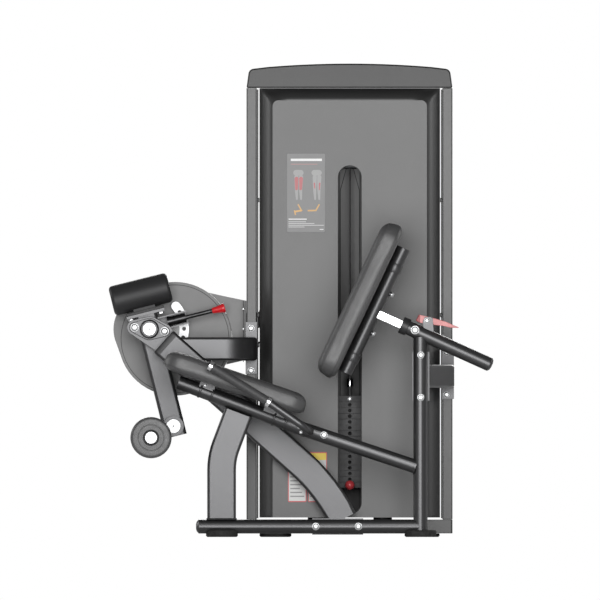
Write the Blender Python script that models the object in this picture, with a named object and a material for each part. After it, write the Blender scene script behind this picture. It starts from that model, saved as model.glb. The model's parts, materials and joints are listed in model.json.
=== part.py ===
"""Seated leg extension machine with a shrouded weight tower.

Metres, +Z up, +X towards the back rest, +Y from the user's near side to the
tower. The origin is on the floor under the middle of the machine. The user
sits facing -X. Every solid is its own named object.
"""
import math

import bmesh
import bpy
from mathutils import Matrix, Vector

# ---- driving dimensions -------------------------------------------------
GAP = 0.0003                     # clearance between touching pieces
TUBE_R = 0.02275                 # round frame tube
FLAT_THICK = 0.045               # flat frame tube, across the machine
SPINE_WIDE = 0.093               # flat frame tube, in the side view
LINK_TALL = 0.075                # flat link tubes to the tower
FLANGE_THICK = 0.008

NEAR_Y = -0.2680                 # plane of the near frame and the seat
SPINE_Y = -0.004                 # plane of the far spine tube
ARM_Y = 0.085                    # plane of the lever arm
STACK_Y = 0.2035                 # plane of the weight stack, cables and cam
BASE_Z = 0.0336                  # axis height of the base tube

PIVOT = Vector((-0.4827, 0.0, 0.6653))
ARM_TILT = -14.0                 # lever arm from the vertical, degrees
ARM_LONG = 0.353
SWING_DROP = 0.320               # main pivot to the roller's swing pivot
ROLLER_AT = Vector((-0.4776, 0.0, 0.3178))
ROLLER_R = 0.0665
ROLLER_Y = (-0.4630, -0.0530)
SHAFT_R = 0.015

WEIGHT_AT = 0.115                # main pivot to the counterweight's axis
WEIGHT_R = 0.0485
WEIGHT_LONG = 0.192

INDEX_R = 0.112                  # middle of the index arc
INDEX_WIDE = 0.029
INDEX_HOLE_R = 0.111
INDEX_STEP = 14.4
INDEX_Y = (0.1385, 0.1465)
CAM_TRACK_R = 0.1135             # cable line on the cam

SEAT_TILT = 18.9
SEAT_WIDE = 0.38
HANDLE_OUT = 0.2135              # side handles from the seat plane
SEAT_THICK = 0.066
SEAT_LONG = 0.486
SEAT_TOP_AT = Vector((-0.4008, NEAR_Y, 0.5974))

BACK_TILT = 25.2                 # back pad from the vertical
BACK_WIDE = 0.36
BACK_THICK = 0.071
BACK_LONG = 0.543
BACK_FRONT_AT = Vector((0.04624, NEAR_Y, 0.5395))
SLIDE_TILT = 24.25
SLIDER_HALF = 0.015
BACK_TUBE_R = 0.0225
SLEEVE_FROM = Vector((0.3246, NEAR_Y, 0.6790))
SLEEVE_LONG = 0.317

TOWER_X = (-0.1720, 0.4872)
TOWER_Y = (0.0985, 0.4985)
TOWER_MID = 0.1586
UPRIGHT_WIDE = 0.0326
BASE_FRAME_Z = (0.0115, 0.0557)
CAP_Z = 1.4368
SHROUD_X = (-0.1304, 0.4472)
SHROUD_Z = (0.0624, 1.4362)
SHROUD_FRONT_Y = 0.0485
SHEET = 0.003
SLOT_WIDE = 0.0765
SLOT_Z = (0.0736, 1.1882)

PLATE_COUNT = 15
PLATE_PITCH = 0.01834
PLATE_WIDE = 0.30
PLATE_DEEP = 0.11
STACK_BOTTOM = 0.1572
ROD_OFFSET = 0.105
ROD_R = 0.0125
STEM_R = 0.0062
HEAD_TOP = 0.4522
STEM_TOP = 0.5184
CROWN_Z = (1.182, 1.207)         # crown beam over the guide rods

TURN_PULLEY = Vector((-0.0700, STACK_Y, 0.7000))
TURN_TRACK_R = 0.0635
TOP_TRACK_R = 0.0823
TOP_PULLEY = Vector((TOWER_MID - TOP_TRACK_R, STACK_Y, 1.3000))
CABLE_R = 0.003


# ---- scene and materials ------------------------------------------------
for old in list(bpy.data.objects):
    bpy.data.objects.remove(old)


def finish(name, colour, roughness, metallic):
    """A Principled material in one plain colour."""
    material = bpy.data.materials.new(name)
    material.use_nodes = True
    shader = material.node_tree.nodes["Principled BSDF"]
    shader.inputs["Base Color"].default_value = (*colour, 1.0)
    shader.inputs["Roughness"].default_value = roughness
    shader.inputs["Metallic"].default_value = metallic
    return material


FRAME_PAINT = finish("frame_paint", (0.045, 0.047, 0.050), 0.42, 0.5)
TOWER_PAINT = finish("tower_paint", (0.060, 0.062, 0.065), 0.50, 0.4)
UPHOLSTERY = finish("upholstery", (0.020, 0.020, 0.022), 0.55, 0.0)
RUBBER = finish("rubber", (0.018, 0.018, 0.018), 0.75, 0.0)
ZINC = finish("zinc", (0.72, 0.73, 0.74), 0.32, 0.9)
CHROME = finish("chrome", (0.80, 0.81, 0.83), 0.12, 1.0)
STEEL = finish("steel", (0.42, 0.43, 0.45), 0.35, 1.0)
CAST_IRON = finish("cast_iron", (0.035, 0.036, 0.038), 0.60, 0.6)
RED = finish("red", (0.60, 0.02, 0.03), 0.35, 0.0)
GUARD_PLASTIC = finish("guard_plastic", (0.070, 0.072, 0.075), 0.50, 0.0)
CABLE_COAT = finish("cable_coat", (0.015, 0.015, 0.016), 0.45, 0.0)
PULLEY_NYLON = finish("pulley_nylon", (0.030, 0.030, 0.032), 0.40, 0.0)


# ---- solid building helpers ---------------------------------------------
def solid(name, verts, faces, material=None, origin=None):
    """One closed mesh object, with its origin moved to the given point."""
    mesh = bpy.data.meshes.new(name)
    mesh.from_pydata([tuple(v) for v in verts], [], faces)
    bm = bmesh.new()
    bm.from_mesh(mesh)
    bmesh.ops.recalc_face_normals(bm, faces=bm.faces)
    bm.to_mesh(mesh)
    bm.free()
    mesh.shade_smooth()
    mesh.set_sharp_from_angle(angle=math.radians(32))
    item = bpy.data.objects.new(name, mesh)
    bpy.context.scene.collection.objects.link(item)
    if material:
        mesh.materials.append(material)
    if origin is not None:
        move_origin(item, origin)
    return item


def move_origin(item, origin):
    """Put the object's origin on a point, leaving its surface in place."""
    item.data.transform(Matrix.Translation(-Vector(origin)))
    item.location = origin


def loft(name, rings, material=None, origin=None):
    """Skin a list of equal rings and close both ends."""
    count = len(rings[0])
    verts = [point for ring in rings for point in ring]
    faces = []
    for r in range(len(rings) - 1):
        for k in range(count):
            a = r * count + k
            b = r * count + (k + 1) % count
            faces.append((a, b, b + count, a + count))
    faces.append(tuple(range(count)))
    faces.append(tuple(range(len(verts) - count, len(verts))))
    return solid(name, verts, faces, material, origin)


def prism(name, outline, y_low, y_high, material=None, origin=None):
    """Extrude an outline of (x, z) points along Y."""
    low = [Vector((x, y_low, z)) for x, z in outline]
    high = [Vector((x, y_high, z)) for x, z in outline]
    return loft(name, [low, high], material, origin)


def box(name, low, high, material=None, origin=None, edge=0.0):
    """A block between two corners, with its upright edges rounded."""
    middle = [(a + b) / 2 for a, b in zip(low, high)]
    outline = rounded_rect(high[0] - low[0], high[1] - low[1], edge, 3 if edge else 1)
    rings = [[Vector((middle[0] + u, middle[1] + v, z)) for u, v in outline]
             for z in (low[2], high[2])]
    return loft(name, rings, material, origin)


def turned(name, profile, centre, axis, sides=24, material=None, origin=None):
    """Revolve (radius, height) points about an axis; both ends are closed."""
    turn = Vector((0, 0, 1)).rotation_difference(Vector(axis)).to_matrix()
    rings = []
    for radius, height in profile:
        ring = []
        for k in range(sides):
            angle = 2 * math.pi * (k + 0.5) / sides
            local = Vector((radius * math.cos(angle), radius * math.sin(angle), height))
            ring.append(Vector(centre) + turn @ local)
        rings.append(ring)
    return loft(name, rings, material, origin)


def cylinder(name, start, end, radius, sides=24, material=None, origin=None):
    """A plain round bar between two points."""
    run = Vector(end) - Vector(start)
    profile = [(radius, 0.0), (radius, run.length)]
    return turned(name, profile, start, run.normalized(), sides, material, origin)


def rounded_rect(wide, tall, radius, steps=3):
    """Corner points of a rounded rectangle about the origin, counter-clockwise."""
    points = []
    corners = ((1, 1, 0), (-1, 1, 90), (-1, -1, 180), (1, -1, 270))
    for sx, sy, start in corners:
        cx = sx * (wide / 2 - radius)
        cy = sy * (tall / 2 - radius)
        if radius == 0.0:
            points.append((cx, cy))
            continue
        for k in range(steps + 1):
            angle = math.radians(start + 90 * k / steps)
            points.append((cx + radius * math.cos(angle), cy + radius * math.sin(angle)))
    return points


def circle(radius, sides=20):
    """Points of a circle about the origin."""
    turns = [2 * math.pi * (k + 0.5) / sides for k in range(sides)]
    return [(radius * math.cos(t), radius * math.sin(t)) for t in turns]


def arc(centre, radius, start, end, steps):
    """Points (x, z) on an arc, angles in degrees from +X towards +Z."""
    angles = [math.radians(start + (end - start) * k / steps) for k in range(steps + 1)]
    return [(centre[0] + radius * math.cos(a), centre[1] + radius * math.sin(a)) for a in angles]


def hull(circles, steps=24):
    """Convex outline round several (x, z, radius) circles."""
    outline = []
    for k in range(steps * 3):
        angle = 2 * math.pi * k / (steps * 3)
        aim = (math.cos(angle), math.sin(angle))
        best = max(circles, key=lambda c: c[0] * aim[0] + c[1] * aim[1] + c[2])
        point = (best[0] + best[2] * aim[0], best[1] + best[2] * aim[1])
        if not outline or math.dist(point, outline[-1]) > 0.0015:
            outline.append(point)
    return outline


def sweep(name, path, section, side, material=None, origin=None):
    """Carry a section along a path. The section's first axis stays on `side`."""
    points = [Vector(p) for p in path]
    rings = []
    for k, point in enumerate(points):
        before = (point - points[k - 1]).normalized() if k else None
        after = (points[k + 1] - point).normalized() if k < len(points) - 1 else None
        along = (before or after).lerp(after or before, 0.5).normalized()
        across = (Vector(side) - along * Vector(side).dot(along)).normalized()
        up = along.cross(across)
        mitre = 1.0
        if before and after:
            mitre = 1.0 / max(0.5, along.dot(after))
        bend = (after - before) if before and after else Vector((0, 0, 0))
        bend_dir = bend.normalized() if bend.length > 1e-6 else Vector((0, 0, 0))
        ring = []
        for u, v in section:
            offset = across * u + up * v
            offset += bend_dir * offset.dot(bend_dir) * (mitre - 1.0)
            ring.append(point + offset)
        rings.append(ring)
    return loft(name, rings, material, origin)


def bent_path(points, radius, steps=6):
    """Straight runs joined by round bends of one radius."""
    points = [Vector(p) for p in points]
    path = [points[0]]
    for before, corner, after in zip(points, points[1:], points[2:]):
        towards = (corner - before).normalized()
        away = (after - corner).normalized()
        turn = towards.angle(away)
        reach = radius * math.tan(turn / 2)
        inward = (away - towards).normalized()
        centre = corner + inward * (radius / math.cos(turn / 2))
        first = corner - towards * reach - centre
        axis = towards.cross(away).normalized()
        for k in range(steps + 1):
            path.append(centre + Matrix.Rotation(turn * k / steps, 3, axis) @ first)
    path.append(points[-1])
    return path


def boolean(target, tool, operation):
    """Join or cut two solids and keep the exact result on the first."""
    modifier = target.modifiers.new(operation.lower(), "BOOLEAN")
    modifier.object = tool
    modifier.operation = operation
    modifier.solver = "EXACT"
    bpy.context.view_layer.update()
    graph = bpy.context.evaluated_depsgraph_get()
    target.data = bpy.data.meshes.new_from_object(target.evaluated_get(graph))
    target.modifiers.clear()
    bpy.data.objects.remove(tool)
    while len(target.data.materials) > 1:
        target.data.materials.pop(index=1)
    target.data.set_sharp_from_angle(angle=math.radians(32))


def join(target, *tools):
    for tool in tools:
        boolean(target, tool, "UNION")


def cut(target, *tools):
    for tool in tools:
        boolean(target, tool, "DIFFERENCE")


def tilted(item, degrees, about):
    """Turn a freshly built solid clockwise, as seen from -Y, about a point."""
    turn = Matrix.Translation(about) @ Matrix.Rotation(math.radians(degrees), 4, "Y")
    item.data.transform(turn @ Matrix.Translation(-Vector(about)))
    return item


def slope(degrees, along, up=0.0):
    """A step along a line that falls to +X by an angle, and square to it."""
    turn = math.radians(degrees)
    x = along * math.cos(turn) + up * math.sin(turn)
    z = -along * math.sin(turn) + up * math.cos(turn)
    return Vector((x, 0.0, z))


# ---- near frame ---------------------------------------------------------
RAIL_FRONT = Vector((-0.3896, NEAR_Y, 0.4957))
RAIL_BEND = Vector((-0.0008, NEAR_Y, 0.3488))
RAIL_REAR = Vector((0.3704, NEAR_Y, 0.2247))
POST_X = 0.3848
LEG_X = -0.2517


def rear_post():
    """Upright round tube, coped under the sleeve, with a welded side flange."""
    post = cylinder("rear_post", (POST_X, NEAR_Y, 0.0128), (POST_X, NEAR_Y, 0.640), TUBE_R,
                    material=FRAME_PAINT)
    sleeve_end = SLEEVE_FROM + slope(SLIDE_TILT, SLEEVE_LONG)
    cut(post, cylinder("cope", SLEEVE_FROM, sleeve_end, TUBE_R + GAP))


def base_tube():
    """Long round floor tube, domed at the front and coped to the rear post."""
    start = -0.3336
    dome = [(0.008, 0.0), (0.016, 0.0025), (TUBE_R, 0.009), (TUBE_R, 0.715)]
    tube = turned("base_tube", dome, (start, NEAR_Y, BASE_Z), (1, 0, 0), material=FRAME_PAINT)
    cope = cylinder("cope", (POST_X, NEAR_Y, -0.05), (POST_X, NEAR_Y, 0.15), TUBE_R + GAP)
    beyond = box("beyond", (POST_X, NEAR_Y - 0.05, -0.05), (POST_X + 0.1, NEAR_Y + 0.05, 0.15))
    join(cope, beyond)
    cut(tube, cope)


def seat_rail():
    """Sloping round tube under the seat, with a saddle and rear mount fused on."""
    bend = bent_path([RAIL_FRONT, RAIL_BEND, RAIL_REAR], 0.6, 3)
    rail = sweep("seat_rail", bend, circle(TUBE_R), (0, 1, 0), material=FRAME_PAINT)
    cope = cylinder("cope", (POST_X, NEAR_Y, 0.1), (POST_X, NEAR_Y, 0.4), TUBE_R + GAP)
    beyond = box("beyond", (POST_X, NEAR_Y - 0.05, 0.1), (POST_X + 0.1, NEAR_Y + 0.05, 0.4))
    join(cope, beyond)
    cut(rail, cope)
    seat_under = SEAT_TOP_AT + slope(SEAT_TILT, 0.0, -SEAT_THICK - GAP)
    for along, long in ((0.110, 0.050), (0.330, 0.070)):
        block = box("saddle", (seat_under.x + along, NEAR_Y - 0.020, seat_under.z - 0.030),
                    (seat_under.x + along + long, NEAR_Y + 0.020, seat_under.z))
        join(rail, tilted(block, SEAT_TILT, seat_under))


def front_leg():
    """Flat tube from the base tube up to the rail, bent back at mid height."""
    rail_at = Vector((-0.1895, NEAR_Y, 0.4201))
    top = rail_at + slope(20.6, 0.0, -TUBE_R - GAP)
    bottom = Vector((LEG_X, NEAR_Y, BASE_Z + TUBE_R + GAP))
    knee_z = top.z - (top.x - LEG_X) / math.tan(math.radians(20.6))
    knee = Vector((LEG_X, NEAR_Y, knee_z))
    section = rounded_rect(FLAT_THICK, 0.092, 0.010)
    sweep("front_leg", bent_path([bottom, knee, top], 0.22, 5), section, (0, 1, 0),
          material=FRAME_PAINT)


def back_sleeve():
    """Sloping tube that guides the slider, with a domed end and lever ears."""
    along = slope(SLIDE_TILT, 1.0)
    long = SLEEVE_LONG
    shape = [(TUBE_R, 0.0), (TUBE_R, long - 0.008), (0.016, long - 0.002), (0.007, long)]
    sleeve = turned("back_sleeve", shape, SLEEVE_FROM, along, material=FRAME_PAINT)
    for side in (-1, 1):
        middle = NEAR_Y + side * 0.0085
        ear = prism("ear", [(0.396, 0.655), (0.428, 0.640), (0.424, 0.700), (0.416, 0.7045),
                            (0.3985, 0.7035), (0.392, 0.690)], middle - 0.002, middle + 0.002)
        join(sleeve, ear)
    bar = [(y, z) for y, z in rounded_rect(2 * SLIDER_HALF + 2 * GAP, 2 * SLIDER_HALF + 2 * GAP,
                                           0.004, 2)]
    mouth = SLEEVE_FROM - along * 0.01
    floor = SLEEVE_FROM + along * (long - 0.02)
    cut(sleeve, sweep("bore", [mouth, floor], bar, (0, 1, 0)))
    pin = cylinder("pin", (0.4053, NEAR_Y - 0.012, 0.6925), (0.4053, NEAR_Y + 0.012, 0.6925),
                   0.004, 12)
    join(sleeve, pin)


def foot(name, x, y, cutters):
    """Round rubber foot, relieved where the frame sits in it."""
    shape = [(0.0465, 0.0), (0.0516, 0.003), (0.0516, 0.018), (0.0480, 0.022)]
    pad = turned(name, shape, (x, y, 0.0), (0, 0, 1), 20, RUBBER)
    cut(pad, *cutters)


def feet():
    """Two feet under the near frame and two under the tower's near edge."""
    channel = cylinder("channel", (-0.32, NEAR_Y, BASE_Z), (-0.15, NEAR_Y, BASE_Z), TUBE_R + GAP)
    foot("foot_near_front", -0.2506, NEAR_Y, [channel])
    socket = cylinder("socket", (POST_X, NEAR_Y, 0.0125), (POST_X, NEAR_Y, 0.1), TUBE_R + GAP)
    channel = cylinder("channel", (0.3, NEAR_Y, BASE_Z), (POST_X, NEAR_Y, BASE_Z), TUBE_R + GAP)
    foot("foot_near_rear", POST_X, NEAR_Y, [socket, channel])
    for name, x in (("foot_tower_front", -0.0793), ("foot_tower_rear", 0.3949)):
        tower_foot(name, x)


def tower_foot(name, x):
    """Two round pads under one side of the tower, joined by a thin rubber strap."""
    top = BASE_FRAME_Z[0] - GAP
    shape = [(0.0465, 0.0), (0.0516, 0.003), (0.0516, top)]
    near_y = TOWER_Y[0] + 0.0525
    far_y = TOWER_Y[1] - 0.0525
    pads = turned(name, shape, (x, near_y, 0.0), (0, 0, 1), 20, RUBBER)
    far_pad = turned("far_pad", shape, (x, far_y, 0.0), (0, 0, 1), 20)
    strap = box("strap", (x - 0.015, near_y, top - 0.005), (x + 0.015, far_y, top))
    join(pads, strap, far_pad)


# ---- far frame ----------------------------------------------------------
SPINE_TILT = 41.7
CROSS_X = 0.137


def spine_tube():
    """Flat tube from the pivot plate down to the floor, with welded cross tubes."""
    start = PIVOT + slope(SPINE_TILT, 0.072)
    start.y = SPINE_Y
    knee = Vector((-0.0008, SPINE_Y, 0.2368))
    path = [start, start.lerp(knee, 0.5)]
    radius = 0.599
    turn = 21.8
    heading = math.radians(SPINE_TILT)
    centre = knee - Vector((math.sin(heading), 0.0, math.cos(heading))) * radius
    for k in range(7):
        lean = math.radians(SPINE_TILT + turn * k / 6)
        path.append(centre + Vector((math.sin(lean), 0.0, math.cos(lean))) * radius)
    section = rounded_rect(FLAT_THICK, SPINE_WIDE, 0.010)
    spine = sweep("spine_tube", path, section, (0, 1, 0), material=FRAME_PAINT)
    cut(spine, box("floor_trim", (-0.1, -0.2, -0.1), (0.4, 0.2, 0.0500)))
    cross = sweep("cross", [(CROSS_X, NEAR_Y + TUBE_R + GAP + 0.006, BASE_Z),
                            (CROSS_X, TOWER_Y[0] - GAP - 0.006, BASE_Z)],
                  rounded_rect(0.077, 0.045, 0.008), (1, 0, 0))
    near = NEAR_Y + TUBE_R + GAP
    near_flange = box("near_flange", (0.0384, near, 0.0075), (0.2013, near + FLANGE_THICK, 0.0597))
    far = TOWER_Y[0] - GAP
    far_flange = box("far_flange", (0.0784, far - FLANGE_THICK, 0.0125),
                     (0.1956, far, 0.0550))
    rail_cross = cylinder("rail_cross", (-0.199, NEAR_Y + TUBE_R + GAP, 0.4200),
                          (-0.199, SPINE_Y, 0.4200), 0.0225, 20)
    join(spine, cross, near_flange, far_flange, rail_cross)


def upper_link_tube():
    """Flat tube from the spine, bent square to a flange on the tower."""
    z = 0.6017
    far = TOWER_Y[0] - GAP
    path = bent_path([(-0.385, SPINE_Y, z), (-0.161, SPINE_Y, z), (-0.161, far - 0.002, z)],
                     0.085, 7)
    link = sweep("upper_link_tube", path, rounded_rect(LINK_TALL, FLAT_THICK, 0.009), (0, 0, 1),
                 material=FRAME_PAINT)
    flange = box("flange", (-0.1749, far - FLANGE_THICK, 0.5216), (-0.1384, far, 0.6880))
    join(link, flange)
    spine_cut = box("spine_cut", (0.0, SPINE_Y - 0.06, -SPINE_WIDE / 2 - GAP),
                    (0.7, SPINE_Y + 0.06, SPINE_WIDE / 2 + GAP))
    spine_cut.data.transform(Matrix.Translation(PIVOT))
    cut(link, tilted(spine_cut, SPINE_TILT, PIVOT))


def rear_link_tube():
    """Flat tube from the rear post to the tower's rear upright, in a soft S."""
    z = 0.5143
    near = NEAR_Y + TUBE_R + GAP
    far = TOWER_Y[0] - GAP
    path = bent_path([(POST_X + 0.004, near + 0.002, z), (POST_X + 0.004, near + 0.080, z),
                      (0.4705, far - 0.080, z), (0.4705, far - 0.002, z)], 0.09, 4)
    link = sweep("rear_link_tube", path, rounded_rect(LINK_TALL, FLAT_THICK, 0.009), (0, 0, 1),
                 material=FRAME_PAINT)
    near_flange = box("near_flange", (0.3582, near, 0.4362), (0.4133, near + FLANGE_THICK, 0.5923))
    far_flange = box("far_flange", (0.4536, far - FLANGE_THICK, 0.4416), (0.4920, far, 0.5984))
    join(link, near_flange, far_flange)


def bearing_plate():
    """Kite-shaped plate bolted to the spine, with the near bearing housing."""
    spine_bolt = PIVOT + slope(SPINE_TILT, 0.125)
    outline = hull([(-0.5304, 0.6704, 0.024), (-0.4344, 0.6582, 0.024),
                    (PIVOT.x, PIVOT.z, 0.040), (spine_bolt.x, spine_bolt.z, 0.030)])
    far_face = SPINE_Y + FLAT_THICK / 2 + GAP
    plate = prism("bearing_plate", outline, far_face, far_face + 0.010, FRAME_PAINT)
    housing = hull([(-0.5304, 0.6704, 0.016), (-0.4344, 0.6582, 0.016), (PIVOT.x, PIVOT.z, 0.034)])
    flange = prism("flange", housing, far_face - 0.010, far_face + 0.002)
    barrel = turned("barrel", [(0.026, 0.0), (0.030, 0.004), (0.030, 0.026)],
                    (PIVOT.x, far_face - 0.024, PIVOT.z), (0, 1, 0))
    join(plate, flange, barrel)
    cut(plate, shaft_bore(-0.1, 0.1))


def shaft_bore(y_low, y_high):
    """Cutter for a running hole round the main shaft."""
    return cylinder("bore", (PIVOT.x, y_low, PIVOT.z), (PIVOT.x, y_high, PIVOT.z),
                    SHAFT_R + 2 * GAP, 20)


# ---- weight tower -------------------------------------------------------
def tower_base():
    """Welded floor frame with a cross beam and risers that carry the stack."""
    base = box("tower_base", (TOWER_X[0], TOWER_Y[0], BASE_FRAME_Z[0]),
               (TOWER_X[1], TOWER_Y[1], BASE_FRAME_Z[1]), TOWER_PAINT, edge=0.006)
    for low_y, high_y in ((TOWER_Y[0] + 0.045, 0.150), (0.257, TOWER_Y[1] - 0.045)):
        if high_y - low_y > 0.02:
            cut(base, box("window", (TOWER_X[0] + 0.05, low_y, -0.1),
                          (TOWER_X[1] - 0.05, high_y, 0.2)))
    for side in (-1, 1):
        x = TOWER_MID + side * ROD_OFFSET
        riser = turned("riser", [(0.030, 0.0), (0.030, 0.080), (0.034, 0.086), (0.034, 0.1066)],
                       (x, STACK_Y, 0.0500), (0, 0, 1), 20)
        join(base, riser)
        cut(base, cylinder("rod_hole", (x, STACK_Y, 0.0548), (x, STACK_Y, 0.3), ROD_R + GAP, 20))


def belt_window():
    """Cutter for the way of the cable and the bearing arm into the tower."""
    return box("belt_window", (TOWER_X[0] - 0.1, 0.178, 0.600), (TOWER_X[0] + 0.1, 0.264, 0.740))


def uprights():
    """Deep side frames of the tower; the front one carries the cam bearing arm."""
    z_low = BASE_FRAME_Z[1] + GAP
    z_high = CAP_Z - GAP
    front = box("upright_front", (TOWER_X[0], TOWER_Y[0], z_low),
                (TOWER_X[0] + UPRIGHT_WIDE, TOWER_Y[1], z_high), TOWER_PAINT, edge=0.004)
    cut(front, belt_window())
    outline = hull([(PIVOT.x, PIVOT.z, 0.034), (TURN_PULLEY.x, TURN_PULLEY.z, 0.024)])
    arm = prism("bearing_arm", outline, 0.2460, 0.2580)
    hub = cylinder("hub", (PIVOT.x, 0.2420, PIVOT.z), (PIVOT.x, 0.2640, PIVOT.z), 0.028)
    axle = cylinder("axle", (TURN_PULLEY.x, STACK_Y - 0.013, TURN_PULLEY.z),
                    (TURN_PULLEY.x, 0.2500, TURN_PULLEY.z), 0.008, 16)
    foot_plate = box("foot_plate", (TOWER_X[0] + 0.008, 0.2450, 0.590),
                     (TOWER_X[0] + 0.024, 0.2700, 0.745))
    join(arm, hub, axle)
    cut(arm, shaft_bore(0.1, 0.4))
    join(front, foot_plate, arm)
    box("upright_rear", (TOWER_X[1] - UPRIGHT_WIDE, TOWER_Y[0], z_low),
        (TOWER_X[1], TOWER_Y[1], z_high), TOWER_PAINT, edge=0.004)


def top_cap():
    """Arched cap with round shoulders over the whole tower."""
    mid = (TOWER_X[0] + TOWER_X[1]) / 2
    half = (TOWER_X[1] - TOWER_X[0]) / 2
    rise = 0.0173
    crown_z = 1.5149
    radius = (half * half + rise * rise) / (2 * rise)
    shoulder = 0.018
    outline = [(mid - half, CAP_Z), (mid + half, CAP_Z)]
    corner = (mid + half - 0.006 - shoulder, crown_z - rise - shoulder + 0.001)
    right = arc(corner, shoulder, 8, 84, 5)
    crown = []
    for k in range(1, 16):
        x = mid + (half - 0.030) * (1 - k / 8)
        crown.append((x, crown_z - radius + math.sqrt(radius * radius - (x - mid) ** 2)))
    left = [(2 * mid - x, z) for x, z in reversed(right)]
    prism("top_cap", outline + right + crown + left, TOWER_Y[0], TOWER_Y[1], TOWER_PAINT)


def shroud_ring(inset_x, inset_top, y, radius, grow=0.0):
    """Rounded rectangle of the shroud's front view at one depth."""
    low_x = SHROUD_X[0] + inset_x - grow
    high_x = SHROUD_X[1] - inset_x + grow
    low_z = SHROUD_Z[0] + (grow and -0.02)
    high_z = SHROUD_Z[1] - inset_top + grow
    points = [Vector((high_x, y, low_z))]
    points += [Vector((x, y, z)) for x, z in arc((high_x - radius, high_z - radius), radius,
                                                 0, 90, 6)]
    points += [Vector((x, y, z)) for x, z in arc((low_x + radius, high_z - radius), radius,
                                                 90, 180, 6)]
    points.append(Vector((low_x, y, low_z)))
    return points


def front_shroud():
    """Pressed front shell with a raised, bevelled panel and a round-ended slot."""
    bevel = 0.042
    top_bevel = 0.036
    back_y = 0.2885
    outer = [shroud_ring(0.0, 0.0, back_y, 0.004), shroud_ring(0.0, 0.0, TOWER_Y[0], 0.004),
             shroud_ring(bevel * 0.90, top_bevel * 0.82, SHROUD_FRONT_Y + 0.004, 0.020),
             shroud_ring(bevel, top_bevel, SHROUD_FRONT_Y, 0.022)]
    inner = [shroud_ring(0.0, 0.0, back_y + 0.02, 0.004, -SHEET),
             shroud_ring(0.0, 0.0, TOWER_Y[0] + 0.0015, 0.004, -SHEET),
             shroud_ring(bevel, top_bevel, SHROUD_FRONT_Y + SHEET, 0.022, -SHEET)]
    shell = loft("front_shroud", outer, TOWER_PAINT)
    cut(shell, loft("hollow", inner))
    radius = SLOT_WIDE / 2
    slot = arc((TOWER_MID, SLOT_Z[1] - radius), radius, 0, 180, 16)
    slot += arc((TOWER_MID, SLOT_Z[0] + radius), radius, 180, 360, 16)
    cut(shell, prism("slot", slot, SHROUD_FRONT_Y - 0.02, SHROUD_FRONT_Y + 0.02))
    cut(shell, belt_window())


def rear_shroud():
    """Plain pressed shell that closes the back of the tower."""
    low = (SHROUD_X[0], 0.2915, SHROUD_Z[0])
    high = (SHROUD_X[1], TOWER_Y[1], SHROUD_Z[1])
    shell = box("rear_shroud", low, high, TOWER_PAINT)
    cut(shell, box("hollow", (low[0] + SHEET, low[1] - 0.05, low[2] - 0.05),
                   (high[0] - SHEET, high[1] - SHEET, high[2] - SHEET)))


def guide_frame():
    """Crown beam inside the tower, with pulley cheeks on it and two guide rods under it."""
    low_z, high_z = CROWN_Z
    beam = box("guide_frame", (SHROUD_X[0] + SHEET + 0.001, STACK_Y - 0.040, low_z),
               (SHROUD_X[1] - SHEET - 0.001, STACK_Y + 0.040, high_z), STEEL, edge=0.004)
    for side in (-1, 1):
        y = STACK_Y + side * 0.020
        cheek = box("cheek", (TOP_PULLEY.x - 0.025, y - 0.003, high_z - 0.005),
                    (TOP_PULLEY.x + 0.025, y + 0.003, TOP_PULLEY.z + 0.025))
        rod_x = TOWER_MID + side * ROD_OFFSET
        rod = cylinder("rod", (rod_x, STACK_Y, 0.0552), (rod_x, STACK_Y, low_z + 0.005), ROD_R, 20)
        join(beam, cheek, rod)
        cable_x = TOP_PULLEY.x + side * TOP_TRACK_R
        cut(beam, cylinder("cable_hole", (cable_x, STACK_Y, low_z - 0.01),
                           (cable_x, STACK_Y, high_z + 0.01), 0.008, 16))
    axle = cylinder("axle", (TOP_PULLEY.x, STACK_Y - 0.0215, TOP_PULLEY.z),
                    (TOP_PULLEY.x, STACK_Y + 0.0215, TOP_PULLEY.z), 0.008, 16)
    join(beam, axle)


GUARD_SMALL = (PIVOT.x, PIVOT.z, 0.115)
GUARD_LARGE = (-0.4008, 0.6342, 0.182)
GUARD_Y = (0.1635, 0.2835)
GUARD_WALL = 0.003


def cam_guard():
    """Moulded round cover over the cam, open towards the belt guard."""
    outline = hull([GUARD_SMALL, GUARD_LARGE], 20)
    low, high = GUARD_Y
    shell = prism("cam_guard", outline, low, high, GUARD_PLASTIC)
    shrunk = [(x, z, r - GUARD_WALL) for x, z, r in (GUARD_SMALL, GUARD_LARGE)]
    cut(shell, prism("hollow", hull(shrunk, 20), low + GUARD_WALL, high - GUARD_WALL))
    cut(shell, box("belt_way", (-0.28, 0.178, 0.590), (-0.17, 0.268, 0.730)))
    cut(shell, cylinder("shaft_hole", (PIVOT.x, low - 0.01, PIVOT.z),
                        (PIVOT.x, low + 0.01, PIVOT.z), 0.024, 24))


def belt_guard():
    """Sleeve-like cover that carries the cable way from the cam guard to the tower."""
    end_x = TOWER_X[0] - GAP
    outline = [(end_x, 0.5670), (end_x, 0.7560), (-0.2330, 0.7685), (-0.2930, 0.7818),
               (-0.3200, 0.7500), (-0.3200, 0.5700), (-0.2386, 0.5517)]
    low, high = GUARD_Y[0] + 0.004, GUARD_Y[1] - 0.004
    shell = prism("belt_guard", outline, low, high, GUARD_PLASTIC)
    x, z, radius = GUARD_LARGE
    cut(shell, cylinder("round", (x, 0.1, z), (x, 0.4, z), radius + 2 * GAP, 60))
    cut(shell, box("way", (-0.4, 0.174, 0.585), (0.0, 0.272, 0.740)))


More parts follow.
